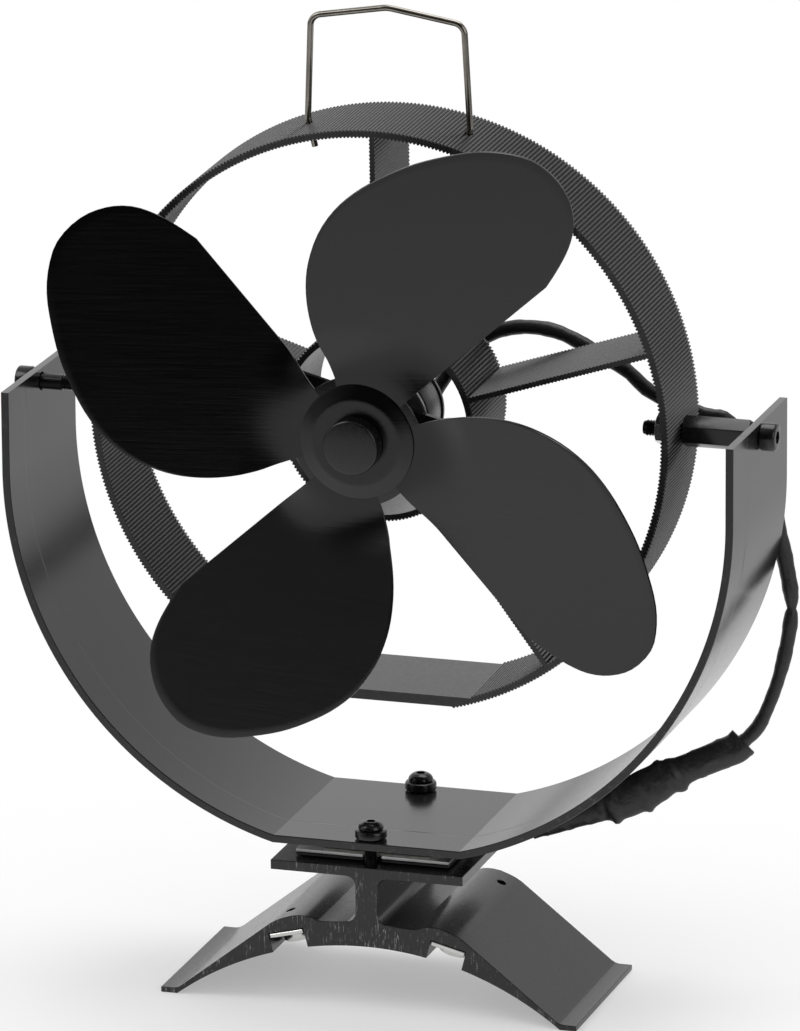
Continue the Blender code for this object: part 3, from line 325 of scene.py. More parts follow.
class Nodes(Tree):
    """A principled material. A colour is three numbers, or one for a grey."""

    def __init__(self, name, colour, roughness, metallic=0.0, specular=0.5):
        self.material = bpy.data.materials.new(name)
        self.material.use_nodes = True
        super().__init__(self.material.node_tree)
        self.shader = self.tree.nodes["Principled BSDF"]
        self.fill(self.shader, Base_Color=(*triple(colour), 1.0), Roughness=roughness, Metallic=metallic,
                  Specular_IOR_Level=specular)
        self.bump = None

    def noise(self, scale, detail=3.0, roughness=0.55, distortion=0.0):
        """Noise over the object coordinates, with one scale or one for each axis."""
        mapping = self.node("ShaderNodeMapping")
        self.fill(mapping, Vector=self.place(), Scale=triple(scale))
        grain = self.node("ShaderNodeTexNoise")
        self.fill(grain, Vector=mapping.outputs["Vector"], Scale=1.0, Detail=detail, Roughness=roughness,
                  Distortion=distortion)
        return grain.outputs["Fac"]

    def tint(self, share, dark, light):
        """Colour that goes from dark to light by a share."""
        node = self.node("ShaderNodeMix", data_type="RGBA")
        self.link(share, node.inputs["Factor"])
        colours = [socket for socket in node.inputs if socket.type == "RGBA"]
        self.feed(colours, [(*triple(value), 1.0) for value in (dark, light)])
        mixed = [socket for socket in node.outputs if socket.type == "RGBA"][0]
        self.link(mixed, self.shader.inputs["Base Color"])

    def cloud(self, value, dark, light, low=0.3, high=0.7):
        """Colour that drifts from dark to light with a noise."""
        self.tint(self.span(value, low, high, 0.0, 1.0), dark, light)

    def rough(self, value, low, high):
        self.link(self.span(value, 0.25, 0.75, low, high), self.shader.inputs["Roughness"])

    def height(self, value, strength, distance):
        """Add a bump over those that are there."""
        bump = self.node("ShaderNodeBump")
        self.fill(bump, Strength=strength, Distance=distance, Height=value)
        if self.bump:
            self.link(self.bump, bump.inputs["Normal"])
        self.bump = bump.outputs["Normal"]
        self.link(self.bump, self.shader.inputs["Normal"])


def anodised(name, dark, light, rough_low, rough_high, specular=0.5):
    nodes = Nodes(name, dark, rough_low, 0.0, specular)
    fine = nodes.noise(900, 3.0, 0.6)
    nodes.cloud(nodes.noise(45, 4.0), dark, light)
    nodes.rough(fine, rough_low, rough_high)
    nodes.height(fine, 0.25, 0.00004)
    return nodes


def yoke_material():
    """Satin sheet with fine rolling marks and one pressed line near its front edge."""
    nodes = anodised("yoke_satin", (0.011, 0.011, 0.0113), (0.016, 0.016, 0.0164), 0.15, 0.21, 0.53)
    nodes.height(nodes.noise((14, 2600, 14), 3.0, 0.6), 0.12, 0.00002)
    along = nodes.split(nodes.place())["Y"]
    away = nodes.maths("ABSOLUTE", nodes.maths("SUBTRACT", along, SHIFT - YOKE_LINE_Y))
    nodes.height(nodes.span(away, 0.0, YOKE_LINE_HALF, 0.0, 1.0), 0.5, 0.00006)
    return nodes.material


def saw_cut(name, dark, light, scale):
    """Cut face with upright streaks from the saw, thicker in some patches."""
    nodes = Nodes(name, dark, 0.45, 0.0, 0.6)
    streaks = nodes.noise(scale, 4.0, 0.75, 0.4)
    marks = nodes.span(streaks, 0.57, 0.66, 0.0, 1.0)
    patches = nodes.span(nodes.noise((260, 260, 200), 3.0, 0.6), 0.4, 0.6, 0.1, 1.0)
    nodes.tint(nodes.maths("MULTIPLY", marks, patches), dark, light)
    nodes.rough(streaks, 0.34, 0.55)
    nodes.height(streaks, 0.5, 0.0001)
    return nodes.material


def blade_material():
    """Near-black coat, glossy, over level brushing."""
    dark, light = (0.001, 0.001, 0.0011), (0.0018, 0.0018, 0.0019)
    nodes = Nodes("blade_dark", light, 0.2)
    brushed = nodes.noise((60, 60, 2200), 4.0, 0.7)
    nodes.cloud(nodes.noise(28), dark, light)
    nodes.rough(brushed, 0.15, 0.27)
    nodes.height(brushed, 0.8, 0.00003)
    return nodes.material


def metal(name, dark, light, rough_low, rough_high, scale=900, strength=0.15):
    nodes = Nodes(name, light, rough_low, 1.0)
    fine = nodes.noise(scale, 3.0, 0.6)
    nodes.cloud(nodes.noise(120), dark, light)
    nodes.rough(fine, rough_low, rough_high)
    nodes.height(fine, strength, 0.00003)
    return nodes.material


def grained(name, dark, light, rough_low, rough_high, scale, strength, distance, specular=0.5):
    """Coat whose colour, roughness and bumps follow one fine noise."""
    nodes = Nodes(name, dark, rough_low, 0.0, specular)
    fine = nodes.noise(scale)
    nodes.cloud(fine, dark, light, 0.35)
    nodes.rough(fine, rough_low, rough_high)
    nodes.height(fine, strength, distance)
    return nodes.material


def plastic(name, colour, rough_low, rough_high):
    lighter = tuple(min(1.0, share * 1.25 + 0.002) for share in triple(colour))
    return grained(name, colour, lighter, rough_low, rough_high, 1100, 0.25, 0.00004)


def sleeve_material():
    """Heat-shrunk sleeve: satin, with soft wrinkles and small pits."""
    dark, light = 0.009, 0.02
    nodes = Nodes("lead_sleeve", dark, 0.4)
    pits = nodes.noise(1600)
    nodes.cloud(pits, dark, light, 0.4)
    nodes.rough(pits, 0.34, 0.52)
    nodes.height(nodes.noise(260, 3.0, 0.6, 0.6), 0.5, 0.0004)
    nodes.height(pits, 0.3, 0.00006)
    return nodes.material


RING_BLACK = anodised("ring_anodised", (0.013, 0.013, 0.0133), (0.018, 0.018, 0.0184),
                      0.26, 0.36, 0.55).material
RING_CUT = saw_cut("ring_cut", 0.006, 0.03, (500, 40, 500))
FOOT_BLACK = anodised("foot_anodised", (0.004, 0.004, 0.0042), (0.007, 0.007, 0.0073), 0.2, 0.29).material
FOOT_CUT = saw_cut("foot_cut", 0.005, 0.28, (2300, 40, 330))
YOKE_SATIN = yoke_material()
YOKE_EDGE = saw_cut("yoke_edge", 0.007, 0.05, (900, 40, 900))
BLADE = blade_material()
OXIDE = grained("black_oxide", 0.003, (0.007, 0.007, 0.0065), 0.13, 0.25, 1400, 0.15, 0.00002, 0.45)
STAINLESS = metal("stainless", (0.2, 0.188, 0.165), (0.36, 0.335, 0.295), 0.17, 0.23, 700, 0.04)
BRIGHT = metal("bright_steel", (0.55, 0.55, 0.54), (0.72, 0.72, 0.71), 0.18, 0.34)
ALUMINIUM = metal("bare_aluminium", 0.62, 0.78, 0.28, 0.42, (120, 2200, 2200), 0.3)
MOTOR_STEEL = metal("motor_steel", 0.26, 0.36, 0.3, 0.4, 500, 0.04)
NICKEL = metal("magnet_nickel", (0.5, 0.5, 0.49), (0.72, 0.71, 0.69), 0.14, 0.3)
BRASS = metal("terminal_brass", (0.6, 0.46, 0.22), (0.8, 0.62, 0.32), 0.2, 0.35)
PLASTIC = plastic("black_plastic", 0.003, 0.22, 0.34)
GRAPHITE = plastic("graphite_pad", (0.03, 0.03, 0.031), 0.5, 0.7)
CERAMIC = plastic("module_ceramic", (0.62, 0.61, 0.58), 0.45, 0.6)
SLEEVE = sleeve_material()


# Mesh helpers

def row(x, y, z):
    """A point given about the foot's centre, in the row frame."""
    return Vector((x, y + SHIFT, z))


def new_object(name, data):
    obj = bpy.data.objects.new(name, data)
    bpy.context.scene.collection.objects.link(obj)
    return obj


def shade(mesh, degrees):
    """Smooth, with sharp edges over an angle."""
    mesh.shade_smooth()
    mesh.set_sharp_from_angle(angle=math.radians(degrees))


def add(name, bm, materials, smooth=35.0):
    """Object of a finished bmesh. 0 leaves it flat."""
    mesh = bpy.data.meshes.new(name)
    bmesh.ops.recalc_face_normals(bm, faces=bm.faces)
    bm.to_mesh(mesh)
    bm.free()
    for material in materials:
        mesh.materials.append(material)
    if smooth:
        shade(mesh, smooth)
    return new_object(name, mesh)


def evaluated_mesh(obj):
    depsgraph = bpy.context.evaluated_depsgraph_get()
    return bpy.data.meshes.new_from_object(obj.evaluated_get(depsgraph))


def bake(obj, smooth=35.0):
    """Apply the modifiers of an object."""
    mesh = evaluated_mesh(obj)
    obj.modifiers.clear()
    obj.data = mesh
    shade(mesh, smooth)
    return obj


def cut(obj, cutters, operation="DIFFERENCE"):
    for cutter in cutters:
        modifier = obj.modifiers.new("cut", "BOOLEAN")
        modifier.operation = operation
        modifier.solver = "EXACT"
        modifier.object = cutter
    bake(obj)
    for cutter in cutters:
        bpy.data.objects.remove(cutter, do_unlink=True)
    return obj


def bevel(obj, width, segments=2, angle=35.0, smooth=35.0):
    modifier = obj.modifiers.new("bevel", "BEVEL")
    modifier.width = width
    modifier.segments = segments
    modifier.limit_method = "ANGLE"
    modifier.angle_limit = math.radians(angle)
    return bake(obj, smooth)


def turn_to(axis):
    """Rotation that takes local Z to a direction."""
    return Vector(UPWARD).rotation_difference(Vector(axis)).to_matrix().to_4x4()


def wall(bm, first, second):
    """Faces between two closed rows of as many corners, which are one corner at a pole."""
    for index in range(len(first)):
        after = (index + 1) % len(first)
        corners = dict.fromkeys((first[index], first[after], second[after], second[index]))
        if len(corners) > 2:
            bm.faces.new(list(corners))


def lathe(name, profile, centre, axis, materials, steps=64, smooth=30.0, close=False):
    """Turn (radius, height) points about an axis."""
    bm = bmesh.new()
    rings = []
    for radius, height in profile:
        if radius < 1e-7:
            rings.append([bm.verts.new((0, 0, height))] * steps)
        else:
            rings.append([bm.verts.new((x, y, height)) for x, y in circle(radius, steps)])
    for first, second in zip(rings, rings[1:] + rings[:1] if close else rings[1:]):
        wall(bm, first, second)
    bm.transform(Matrix.Translation(centre) @ turn_to(axis))
    return add(name, bm, materials, smooth)


def fill_between(bm, first, second, cap=0):
    """Solid between two outlines, whose ends take a material."""
    first = [bm.verts.new(corner) for corner in first]
    second = [bm.verts.new(corner) for corner in second]
    bm.faces.new(first).material_index = cap
    bm.faces.new(list(reversed(second))).material_index = cap
    wall(bm, first, second)


def prism(name, outline, low, high, centre, axis, materials, smooth=35.0, spin=0.0):
    """Extrude a closed outline along local Z between two heights."""
    bm = bmesh.new()
    fill_between(bm, [(x, y, low) for x, y in outline], [(x, y, high) for x, y in outline])
    bm.transform(Matrix.Translation(centre) @ turn_to(axis) @ Matrix.Rotation(spin, 4, "Z"))
    return add(name, bm, materials, smooth)


def section(name, outline, depth, materials):
    """Extrude an outline in X and Z along Y, about the foot's centre, with its cut faces in slot 1."""
    bm = bmesh.new()
    fill_between(bm, [row(x, -depth / 2, z) for x, z in outline], [row(x, depth / 2, z) for x, z in outline], 1)
    return add(name, bm, materials)


def polar(radius, angle):
    return radius * math.cos(angle), radius * math.sin(angle)


def circle(radius, steps=48):
    return [polar(radius, TAU * s / steps) for s in range(steps)]


def hexagon(flats):
    return circle(flats / math.sqrt(3), 6)


def arc(centre, radius, start, end, steps):
    turned = [polar(radius, start + (end - start) * s / steps) for s in range(steps + 1)]
    return [(centre[0] + x, centre[1] + y) for x, y in turned]


def drill(radius, length, centre, axis, steps=40):
    return prism("drill", circle(radius, steps), -length / 2, length / 2, centre, axis, [OXIDE], 0)


def smooth_route(points, spacing):
    """Catmull-Rom points through a route given in millimetres about the foot's centre."""
    ends = [row(x / 1000, y / 1000, z / 1000) for x, y, z in points]
    ends = [2 * ends[0] - ends[1]] + ends + [2 * ends[-1] - ends[-2]]
    route = []
    for index in range(1, len(ends) - 2):
        before, first, second, after = ends[index - 1:index + 3]
        steps = max(1, round((second - first).length / spacing))
        for step in range(steps):
            t = step / steps
            route.append(0.5 * (2 * first + (second - before) * t
                                + (2 * before - 5 * first + 4 * second - after) * t ** 2
                                + (3 * first - before - 3 * second + after) * t ** 3))
    route.append(ends[-2])
    return route


def tube(name, points, radii, materials, sides=20, flatten=None, smooth=50.0):
    """Sweep a circle along points with frames that don't twist. radii is a number or a list, and flatten
    a direction with the circle's share in it at each point."""
    bm = bmesh.new()
    tangents = [(ahead - behind).normalized()
                for behind, ahead in zip(points[:1] + points, points[1:] + points[-1:])]
    side = flatten[0] if flatten else tangents[0].orthogonal().normalized()
    rings = []
    for index, (point, tangent) in enumerate(zip(points, tangents)):
        side = (side - tangent * side.dot(tangent)).normalized()
        other = tangent.cross(side)
        radius = radii[index] if isinstance(radii, list) else radii
        squeeze = flatten[1][index] if flatten else 1.0
        rings.append([bm.verts.new(point + side * squeeze * x + other * y) for x, y in circle(radius, sides)])
    for first, second in zip(rings, rings[1:]):
        wall(bm, first, second)
    bm.faces.new(list(reversed(rings[0])))
    bm.faces.new(rings[-1])
    return add(name, bm, materials, smooth)


def by_table(table, at):
    """Value between the rows of a table."""
    for (before, first), (after, second) in zip(table, table[1:]):
        if at <= after:
            return first + (second - first) * max(0.0, at - before) / (after - before)
    return table[-1][1]


def box(bm, middle, spans):
    """Box about a middle point from three half-extent vectors."""
    turn = Matrix([(*span, 0) for span in spans] + [(0, 0, 0, 1)]).transposed()
    bmesh.ops.create_cube(bm, size=2.0, matrix=Matrix.Translation(middle) @ turn)


def mirrored(points):
    return [(-x, y) for x, y in reversed(points)]


def knob(radius, top, base):
    """Profile from the middle of a rounded top to the edge of the base."""
    corner = ((0.0006, 0), (0.0003, 0.0001), (0.0001, 0.0003), (0, 0.0006))
    return ([(0, top)] + [(radius - inward, top - down) for inward, down in corner]
            + [(radius, base + 0.0003), (radius - 0.0003, base)])


def threaded(radius, start, end, pitch, depth):
    """Profile of thread crests from start down to end."""
    profile = []
    z = start
    while z > end + pitch:
        profile += [(radius, z), (radius - depth, z - pitch / 2)]
        z -= pitch
    return profile + [(radius, z)]


def dress(obj, node, body):
    """Put a finished piece in place of its node. Head and rotor pieces take the tilt at rest."""
    if body != "stand":
        obj.data.transform(TILTED)
    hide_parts(node)
    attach(obj, body)


# Pieces of the stand

def slot_frame(side):
    outward = Vector((side * math.sin(SLOT_ANGLE), 0, math.cos(SLOT_ANGLE)))
    sideways = Vector((side * math.cos(SLOT_ANGLE), 0, -math.sin(SLOT_ANGLE)))
    base = row(0, 0, ARCH_CENTRE_Z) + outward * ARCH_RADIUS
    return base, outward, sideways


def foot_half():
    plate_under = FOOT_TOP_Z - TOP_PLATE_THICK
    quarter = math.pi / 2
    half = [(0, FOOT_TOP_Z), (TOP_PLATE_HALF, FOOT_TOP_Z), (TOP_PLATE_HALF, plate_under)]
    for turn, z in ((1, plate_under - WEB_FILLET), (2, SADDLE_TOP_Z + WEB_FILLET)):
        half += arc((WEB_HALF + WEB_FILLET, z), WEB_FILLET, turn * quarter, (turn + 1) * quarter, 10)
    half += [(x / 1000, z / 1000) for x, z in SHOULDER]
    half += [(ARCH_HALF_WIDTH - 0.001, LIP_THICK + 0.00075), (ARCH_HALF_WIDTH, LIP_THICK + 0.0002),
             (ARCH_HALF_WIDTH + 0.001, LIP_THICK), (FOOT_HALF_WIDTH, LIP_THICK), (FOOT_HALF_WIDTH, 0)]
    slot_turn = math.asin(SLOT_WIDTH / 2 / ARCH_RADIUS)
    toe = math.asin(ARCH_HALF_WIDTH / ARCH_RADIUS)
    centre = (0, ARCH_CENTRE_Z)
    half += arc(centre, ARCH_RADIUS, quarter - toe, quarter - SLOT_ANGLE - slot_turn, 28)
    base, outward, sideways = slot_frame(1)
    for sign in (1, -1):
        ceiling = base + outward * SLOT_DEPTH + sideways * sign * SLOT_WIDTH / 2
        half.append((ceiling.x, ceiling.z))
    half += arc(centre, ARCH_RADIUS, quarter - SLOT_ANGLE + slot_turn, quarter, 12)
    return half


def clamp_holes(radius, length, z):
    """Cutters where the two clamp screws pass."""
    return [drill(radius, length, row(0, end * CLAMP_Y, z), UPWARD) for end, _ in ENDS]


def make_foot():
    half = foot_half()
    # Both ends of the half lie on the middle plane and aren't doubled
    outline = half + mirrored(half[1:-1])
    foot = section("foot_body", outline, DEPTH, [FOOT_BLACK, FOOT_CUT])
    cutters = []
    for side, _ in SIDES:
        base, outward, _ = slot_frame(side)
        middle = base + outward * SLOT_DEPTH * 1.5 + Vector((0, side * WING_HOLE_Y, 0))
        cutters.append(drill(WING_HOLE_RADIUS, 2 * SLOT_DEPTH, middle, outward))
    cutters.append(drill(CROSS_HOLE_RADIUS, 0.017, row(*CROSS_HOLE), (1, 0, 0)))
    cut(foot, cutters + clamp_holes(CLAMP_RADIUS + GAP, 2 * (CLAMP_GRIP + GAP), FOOT_TOP_Z))
    bevel(foot, 0.00022, 2, 40, 14)
    dress(foot, "foot", "stand")


def make_magnets():
    for side, side_name in SIDES:
        base, outward, sideways = slot_frame(side)
        middle = base + outward * (SLOT_DEPTH - GAP - KEEPER_THICK / 2)
        spans = (Vector((0, DEPTH / 2, 0)), sideways * (SLOT_WIDTH / 2 - GAP), outward * KEEPER_THICK / 2)
        bm = bmesh.new()
        box(bm, middle, spans)
        keeper = add("keeper_strip_" + side_name, bm, [BRIGHT])
        bevel(keeper, 0.00012, 1)
        dress(keeper, "keeper_" + side_name, "stand")
        for end, end_name in ENDS:
            centre = base + Vector((0, end * MAGNET_Y, 0))
            r = MAGNET_RADIUS
            top = SLOT_DEPTH - KEEPER_THICK - 2 * GAP
            low = top - MAGNET_THICK
            edge = 0.00035
            nick = edge * 0.3
            profile = [(0, low), (0.002, low), (r - edge, low), (r - nick, low + nick), (r, low + edge),
                       (r, top - edge), (r - nick, top - nick), (r - edge, top), (0, top)]
            dress(lathe("magnet_disc_%s_%s" % (side_name, end_name), profile, centre, outward, [NICKEL]),
                  "magnet_%s_%s" % (side_name, end_name), "stand")


def make_plate(name, node, heights, material):
    """Thin square plate with a hole for each clamp screw."""
    half = PLATE_HALF
    outline = [(-half, -half), (half, -half), (half, half), (-half, half)]
    plate = prism(name, outline, *heights, row(0, 0, 0), UPWARD, [material])
    cut(plate, clamp_holes(PLATE_HOLE, 0.004, sum(heights) / 2))
    bevel(plate, 0.00008, 1)
    dress(plate, node, "stand")


def make_stack():
    make_plate("graphite_layer", "graphite_sheet", GRAPHITE_Z, GRAPHITE)
    make_plate("spreader_layer", "spreader_plate", SPREADER_Z, ALUMINIUM)
    layers = ((CERAMIC_HALF, CERAMIC_THICK), (PELLETS_HALF, PELLETS_THICK), (CERAMIC_HALF, CERAMIC_THICK))
    low = MODULE_Z
    bm = bmesh.new()
    for (half_x, half_y), thick in layers:
        box(bm, row(0, 0, low + thick / 2), ((half_x, 0, 0), (0, half_y, 0), (0, 0, thick / 2)))
        low += thick
    module = add("module_block", bm, [CERAMIC])
    bevel(module, 0.00008, 1)
    dress(module, "thermoelectric_module", "stand")


def yoke_outline():
    inner = YOKE_RADIUS - YOKE_THICK
    centre = (0, YOKE_CENTRE_Z)
    corner = math.asin(YOKE_FLAT_HALF / YOKE_RADIUS)
    inner_corner = math.acos((YOKE_CENTRE_Z - YOKE_FLOOR_Z) / inner)
    outside = [(YOKE_RADIUS, YOKE_TOP_Z)] + arc(centre, YOKE_RADIUS, 0, corner - math.pi / 2, 90)
    inside = arc(centre, inner, inner_corner - math.pi / 2, 0, 90) + [(inner, YOKE_TOP_Z)]
    return outside + mirrored(outside) + mirrored(inside) + inside


def make_yoke():
    yoke = section("yoke_band", yoke_outline(), DEPTH, [YOKE_SATIN, YOKE_EDGE])
    cut(yoke, [drill(PIVOT_HOLE, 0.3, PIVOT, (1, 0, 0))] + clamp_holes(YOKE_HOLE, 0.006, YOKE_FLOOR_Z))
    bevel(yoke, 0.00022, 2, 40, 9)
    dress(yoke, "yoke", "stand")


def make_clamps():
    for end, end_name in ENDS:
        r = BUSH_RADIUS
        top = BUSH_TOP
        bore = CLAMP_RADIUS + GAP
        profile = [(bore, top), (r - 0.0006, top), (r - 0.0002, top - 0.0002), (r, top - 0.0006),
                   (r, 0.0003), (r - 0.0003, 0), (BUSH_NECK, 0), (BUSH_NECK, -0.0023), (bore, -0.0023)]
        at = row(0, end * CLAMP_Y, YOKE_FLOOR_Z + GAP)
        dress(lathe("bush_" + end_name, profile, at, UPWARD, [PLASTIC], 48, 30, True),
              "clamp_bush_" + end_name, "stand")
        seat = YOKE_FLOOR_Z + top + 2 * GAP
        tip = FOOT_TOP_Z - CLAMP_GRIP - seat
        head = CLAMP_HEAD
        dome = [(head * math.cos(math.radians(a)), CLAMP_RISE * math.sin(math.radians(a)))
                for a in range(58, 9, -8)]
        profile = [(0, dome[0][1])] + dome + [(head, 0.0001), (head - 0.0001, 0), (CLAMP_RADIUS, 0)]
        profile += threaded(CLAMP_RADIUS, -0.0001, tip + 0.0001, 0.0005, 0.00022)
        profile += [(CLAMP_RADIUS - 0.0003, tip), (0, tip)]
        at = row(0, end * CLAMP_Y, seat)
        screw = lathe("button_screw_" + end_name, profile, at, UPWARD, [OXIDE], 48)
        at = row(0, end * CLAMP_Y, seat + dome[0][1])
        cut(screw, [prism("socket", hexagon(CLAMP_SOCKET), -0.0012, 0.0012, at, UPWARD, [OXIDE], 0, 0.35)])
        dress(screw, "clamp_screw_" + end_name, "stand")


# Pieces of the head

def toothed_arc(root, tip, start, end):
    """Arc about the pivot with teeth from a root radius to a tip radius."""
    length = abs(end - start) * root
    teeth = max(1, round(length / TOOTH_PITCH))
    points = []
    for tooth in range(teeth):
        for radius, share in ((root, 0.0), (tip, TOOTH_TIP[0]), (tip, TOOTH_TIP[1])):
            points.append(polar(radius, start + (end - start) * (tooth + share) / teeth))
    return points + [polar(root, end)]


def toothed_line(start, end, rise):
    """Line with teeth at its left side, without its last point."""
    start = Vector(start)
    run = Vector(end) - start
    side = Vector((-run.y, run.x)).normalized() * rise
    teeth = max(1, round(run.length / TOOTH_PITCH))
    points = []
    for tooth in range(teeth):
        points.append(tuple(start + run * tooth / teeth))
        points += [tuple(start + run * (tooth + share) / teeth + side) for share in TOOTH_TIP]
    return points


def ring_window(index):
    """Outline of one opening between two spokes, the hub and the ring."""
    half = SPOKE_THICK / 2 - TOOTH_HEIGHT / 2
    hub = HUB_RADIUS - TOOTH_HEIGHT
    inner = RING_INNER + TOOTH_HEIGHT
    first = math.pi / 2 + TAU * index / SPOKES
    second = first + TAU / SPOKES
    hub_turn = math.asin(half / hub)
    ring_turn = math.asin(half / inner)
    points = toothed_arc(hub, HUB_RADIUS, first + hub_turn, second - hub_turn)
    points += toothed_line(points.pop(), polar(inner, second - ring_turn), TOOTH_HEIGHT / 2)
    middle = (first + second) / 2
    if math.sin(middle) < -0.99:
        corner = math.acos((RING_FLAT_Z - RING_FLAT_THICK) / inner)
        points += toothed_arc(inner, RING_INNER, second - ring_turn, middle + corner)
        points += toothed_arc(inner, RING_INNER, middle - corner, first + ring_turn)
    else:
        points += toothed_arc(inner, RING_INNER, second - ring_turn, first + ring_turn)
    points += toothed_line(points.pop(), points[0], TOOTH_HEIGHT / 2)
    return points


def flat_with_holes(name, outlines, depth, materials):
    """Extrude closed outlines in X and Z about the pivot, the first one solid and the rest holes."""
    curve = bpy.data.curves.new(name, "CURVE")
    curve.dimensions = "2D"
    curve.fill_mode = "BOTH"
    curve.extrude = depth / 2
    for outline in outlines:
        spline = curve.splines.new("POLY")
        spline.points.add(len(outline) - 1)
        for point, (x, z) in zip(spline.points, outline):
            point.co = (x, z, 0.0, 1.0)
        spline.use_cyclic_u = True
    carrier = new_object(name, curve)
    mesh = evaluated_mesh(carrier)
    bpy.data.objects.remove(carrier, do_unlink=True)
    bm = bmesh.new()
    bm.from_mesh(mesh)
    bmesh.ops.remove_doubles(bm, verts=bm.verts, dist=0.000004)
    for face in bm.faces:
        face.material_index = 1 if abs(face.normal.z) > 0.9 else 0
    bm.transform(Matrix.Translation(PIVOT) @ Matrix.Rotation(math.pi / 2, 4, "X"))
    return add(name, bm, materials, 25.0)


def fillet_path(corners, radii, steps):
    """Path through corners that are rounded by radii."""
    points = [Vector(corners[0])]
    for before, corner, after, radius in zip(corners, corners[1:], corners[2:], radii):
        corner = Vector(corner)
        back = (Vector(before) - corner).normalized()
        ahead = (Vector(after) - corner).normalized()
        half = back.angle(ahead) / 2
        centre = corner + (back + ahead).normalized() * radius / math.sin(half)
        first = corner + back * radius / math.tan(half) - centre
        last = corner + ahead * radius / math.tan(half) - centre
        for index in range(steps + 1):
            points.append(centre + first.lerp(last, index / steps).normalized() * radius)
    points.append(Vector(corners[-1]))
    return points


def handle_corners():
    """Hook, foot and top corner of the handle's right leg."""
    angle = math.acos(HANDLE_FOOT_X / RING_RADIUS)
    bend = (RING_RADIUS + WIRE * 2) * math.sin(angle)
    return [polar(RING_INNER - HANDLE_HOOK, angle), (HANDLE_FOOT_X, bend), HANDLE_CORNER]


def make_handle():
    right = handle_corners()
    leg = fillet_path(right + [HANDLE_APEX], [HANDLE_BEND, HANDLE_BEND], 12)[:-1]
    across = [HANDLE_CORNER, HANDLE_APEX, (-HANDLE_CORNER[0], HANDLE_CORNER[1])]
    top = fillet_path(across, [APEX_BEND], 8)[1:-1]
    points = [PIVOT + Vector((x, 0, z)) for x, z in leg + top + mirrored(leg)]
    handle = tube("handle_wire", points, WIRE, [STAINLESS], 24)
    bevel(handle, 0.00015, 2, 60)
    dress(handle, "handle", "head")


def make_ring():
    root = RING_RADIUS - TOOTH_HEIGHT
    corner = math.asin(RING_FLAT_Z / root)
    outline = toothed_arc(root, RING_RADIUS, -corner, math.pi + corner)
    windows = [ring_window(index) for index in range(SPOKES)]
    bore = circle(HUB_BORE, 128)
    ring = flat_with_holes("ring_fins", [outline] + windows + [bore], RING_DEPTH, [RING_BLACK, RING_CUT])
    cutters = [drill(PIVOT_HOLE, 0.012, PIVOT + Vector((side * RING_INNER, 0, 0)), (1, 0, 0))
               for side, _ in SIDES]
    hook, foot, _ = handle_corners()
    for side, _ in SIDES:
        start = Vector((side * hook[0], 0, hook[1]))
        end = Vector((side * foot[0], 0, foot[1]))
        cutters.append(drill(WIRE + GAP, 0.01, PIVOT + (start + end) / 2, end - start, 24))
    cut(ring, cutters)
    shade(ring.data, 25)
    dress(ring, "heat_sink_ring", "head")


def hex_bar(name, low, high, axis, material, bore, chamfer):
    """Drilled hexagon bar on the pivots' axis with turned chamfers."""
    bar = prism(name, hexagon(PIVOT_FLATS), low, high, PIVOT, axis, [material], 30)
    corner = PIVOT_FLATS / math.sqrt(3) + GAP
    flat = PIVOT_FLATS / 2 - 0.0001
    profile = [(0, high), (flat, high), (corner, high - chamfer), (corner, low + chamfer), (flat, low),
               (0, low)]
    cut(bar, [lathe("envelope", profile, PIVOT, axis, [material], 64, 0)], "INTERSECT")
    cut(bar, [drill(bore, (high - low) * 2 + 0.002, PIVOT + Vector(axis) * (low + high) / 2, axis)])
    return bevel(bar, 0.00012, 2, 25)


def make_pivots():
    arm = YOKE_RADIUS - YOKE_THICK
    for side, side_name in SIDES:
        axis = Vector((side, 0, 0))
        bar = hex_bar("spacer_" + side_name, RING_RADIUS + GAP, arm - GAP, axis, OXIDE, PIVOT_HOLE, 0.0006)
        dress(bar, "standoff_" + side_name, "head")
        head = YOKE_RADIUS + GAP
        top = head + BOLT_HEAD_HEIGHT
        tip = head - BOLT_LENGTH
        profile = knob(BOLT_HEAD, top, head) + [(BOLT_RADIUS, head)]
        profile += threaded(BOLT_RADIUS, head - 0.008, tip + 0.0004, THREAD_PITCH, 0.00032)
        profile += [(BOLT_RADIUS - 0.0004, tip), (0, tip)]
        shank = lathe("pivot_screw_" + side_name, profile, PIVOT, axis, [OXIDE], 48)
        socket = prism("socket", hexagon(BOLT_SOCKET), top - 0.0022, top + 0.002, PIVOT, axis, [OXIDE], 0, 0.2)
        cut(shank, [socket])
        dress(shank, "pivot_bolt_" + side_name, "head")
        high = RING_INNER - GAP
        low = high - WASHER_THICK
        r = WASHER_RADIUS
        profile = [(PIVOT_HOLE, low), (r - 0.0001, low), (r, low + 0.0001), (r, high - 0.0001),
                   (r - 0.0001, high), (PIVOT_HOLE, high)]
        dress(lathe("plain_washer_" + side_name, profile, PIVOT, axis, [BRIGHT], 48, 30, True),
              "pivot_washer_" + side_name, "head")
        top = low - GAP
        nut = hex_bar("lock_nut_" + side_name, top - NUT_HEIGHT, top, axis, BRIGHT, 0.0022, 0.0005)
        dress(nut, "pivot_nut_" + side_name, "head")


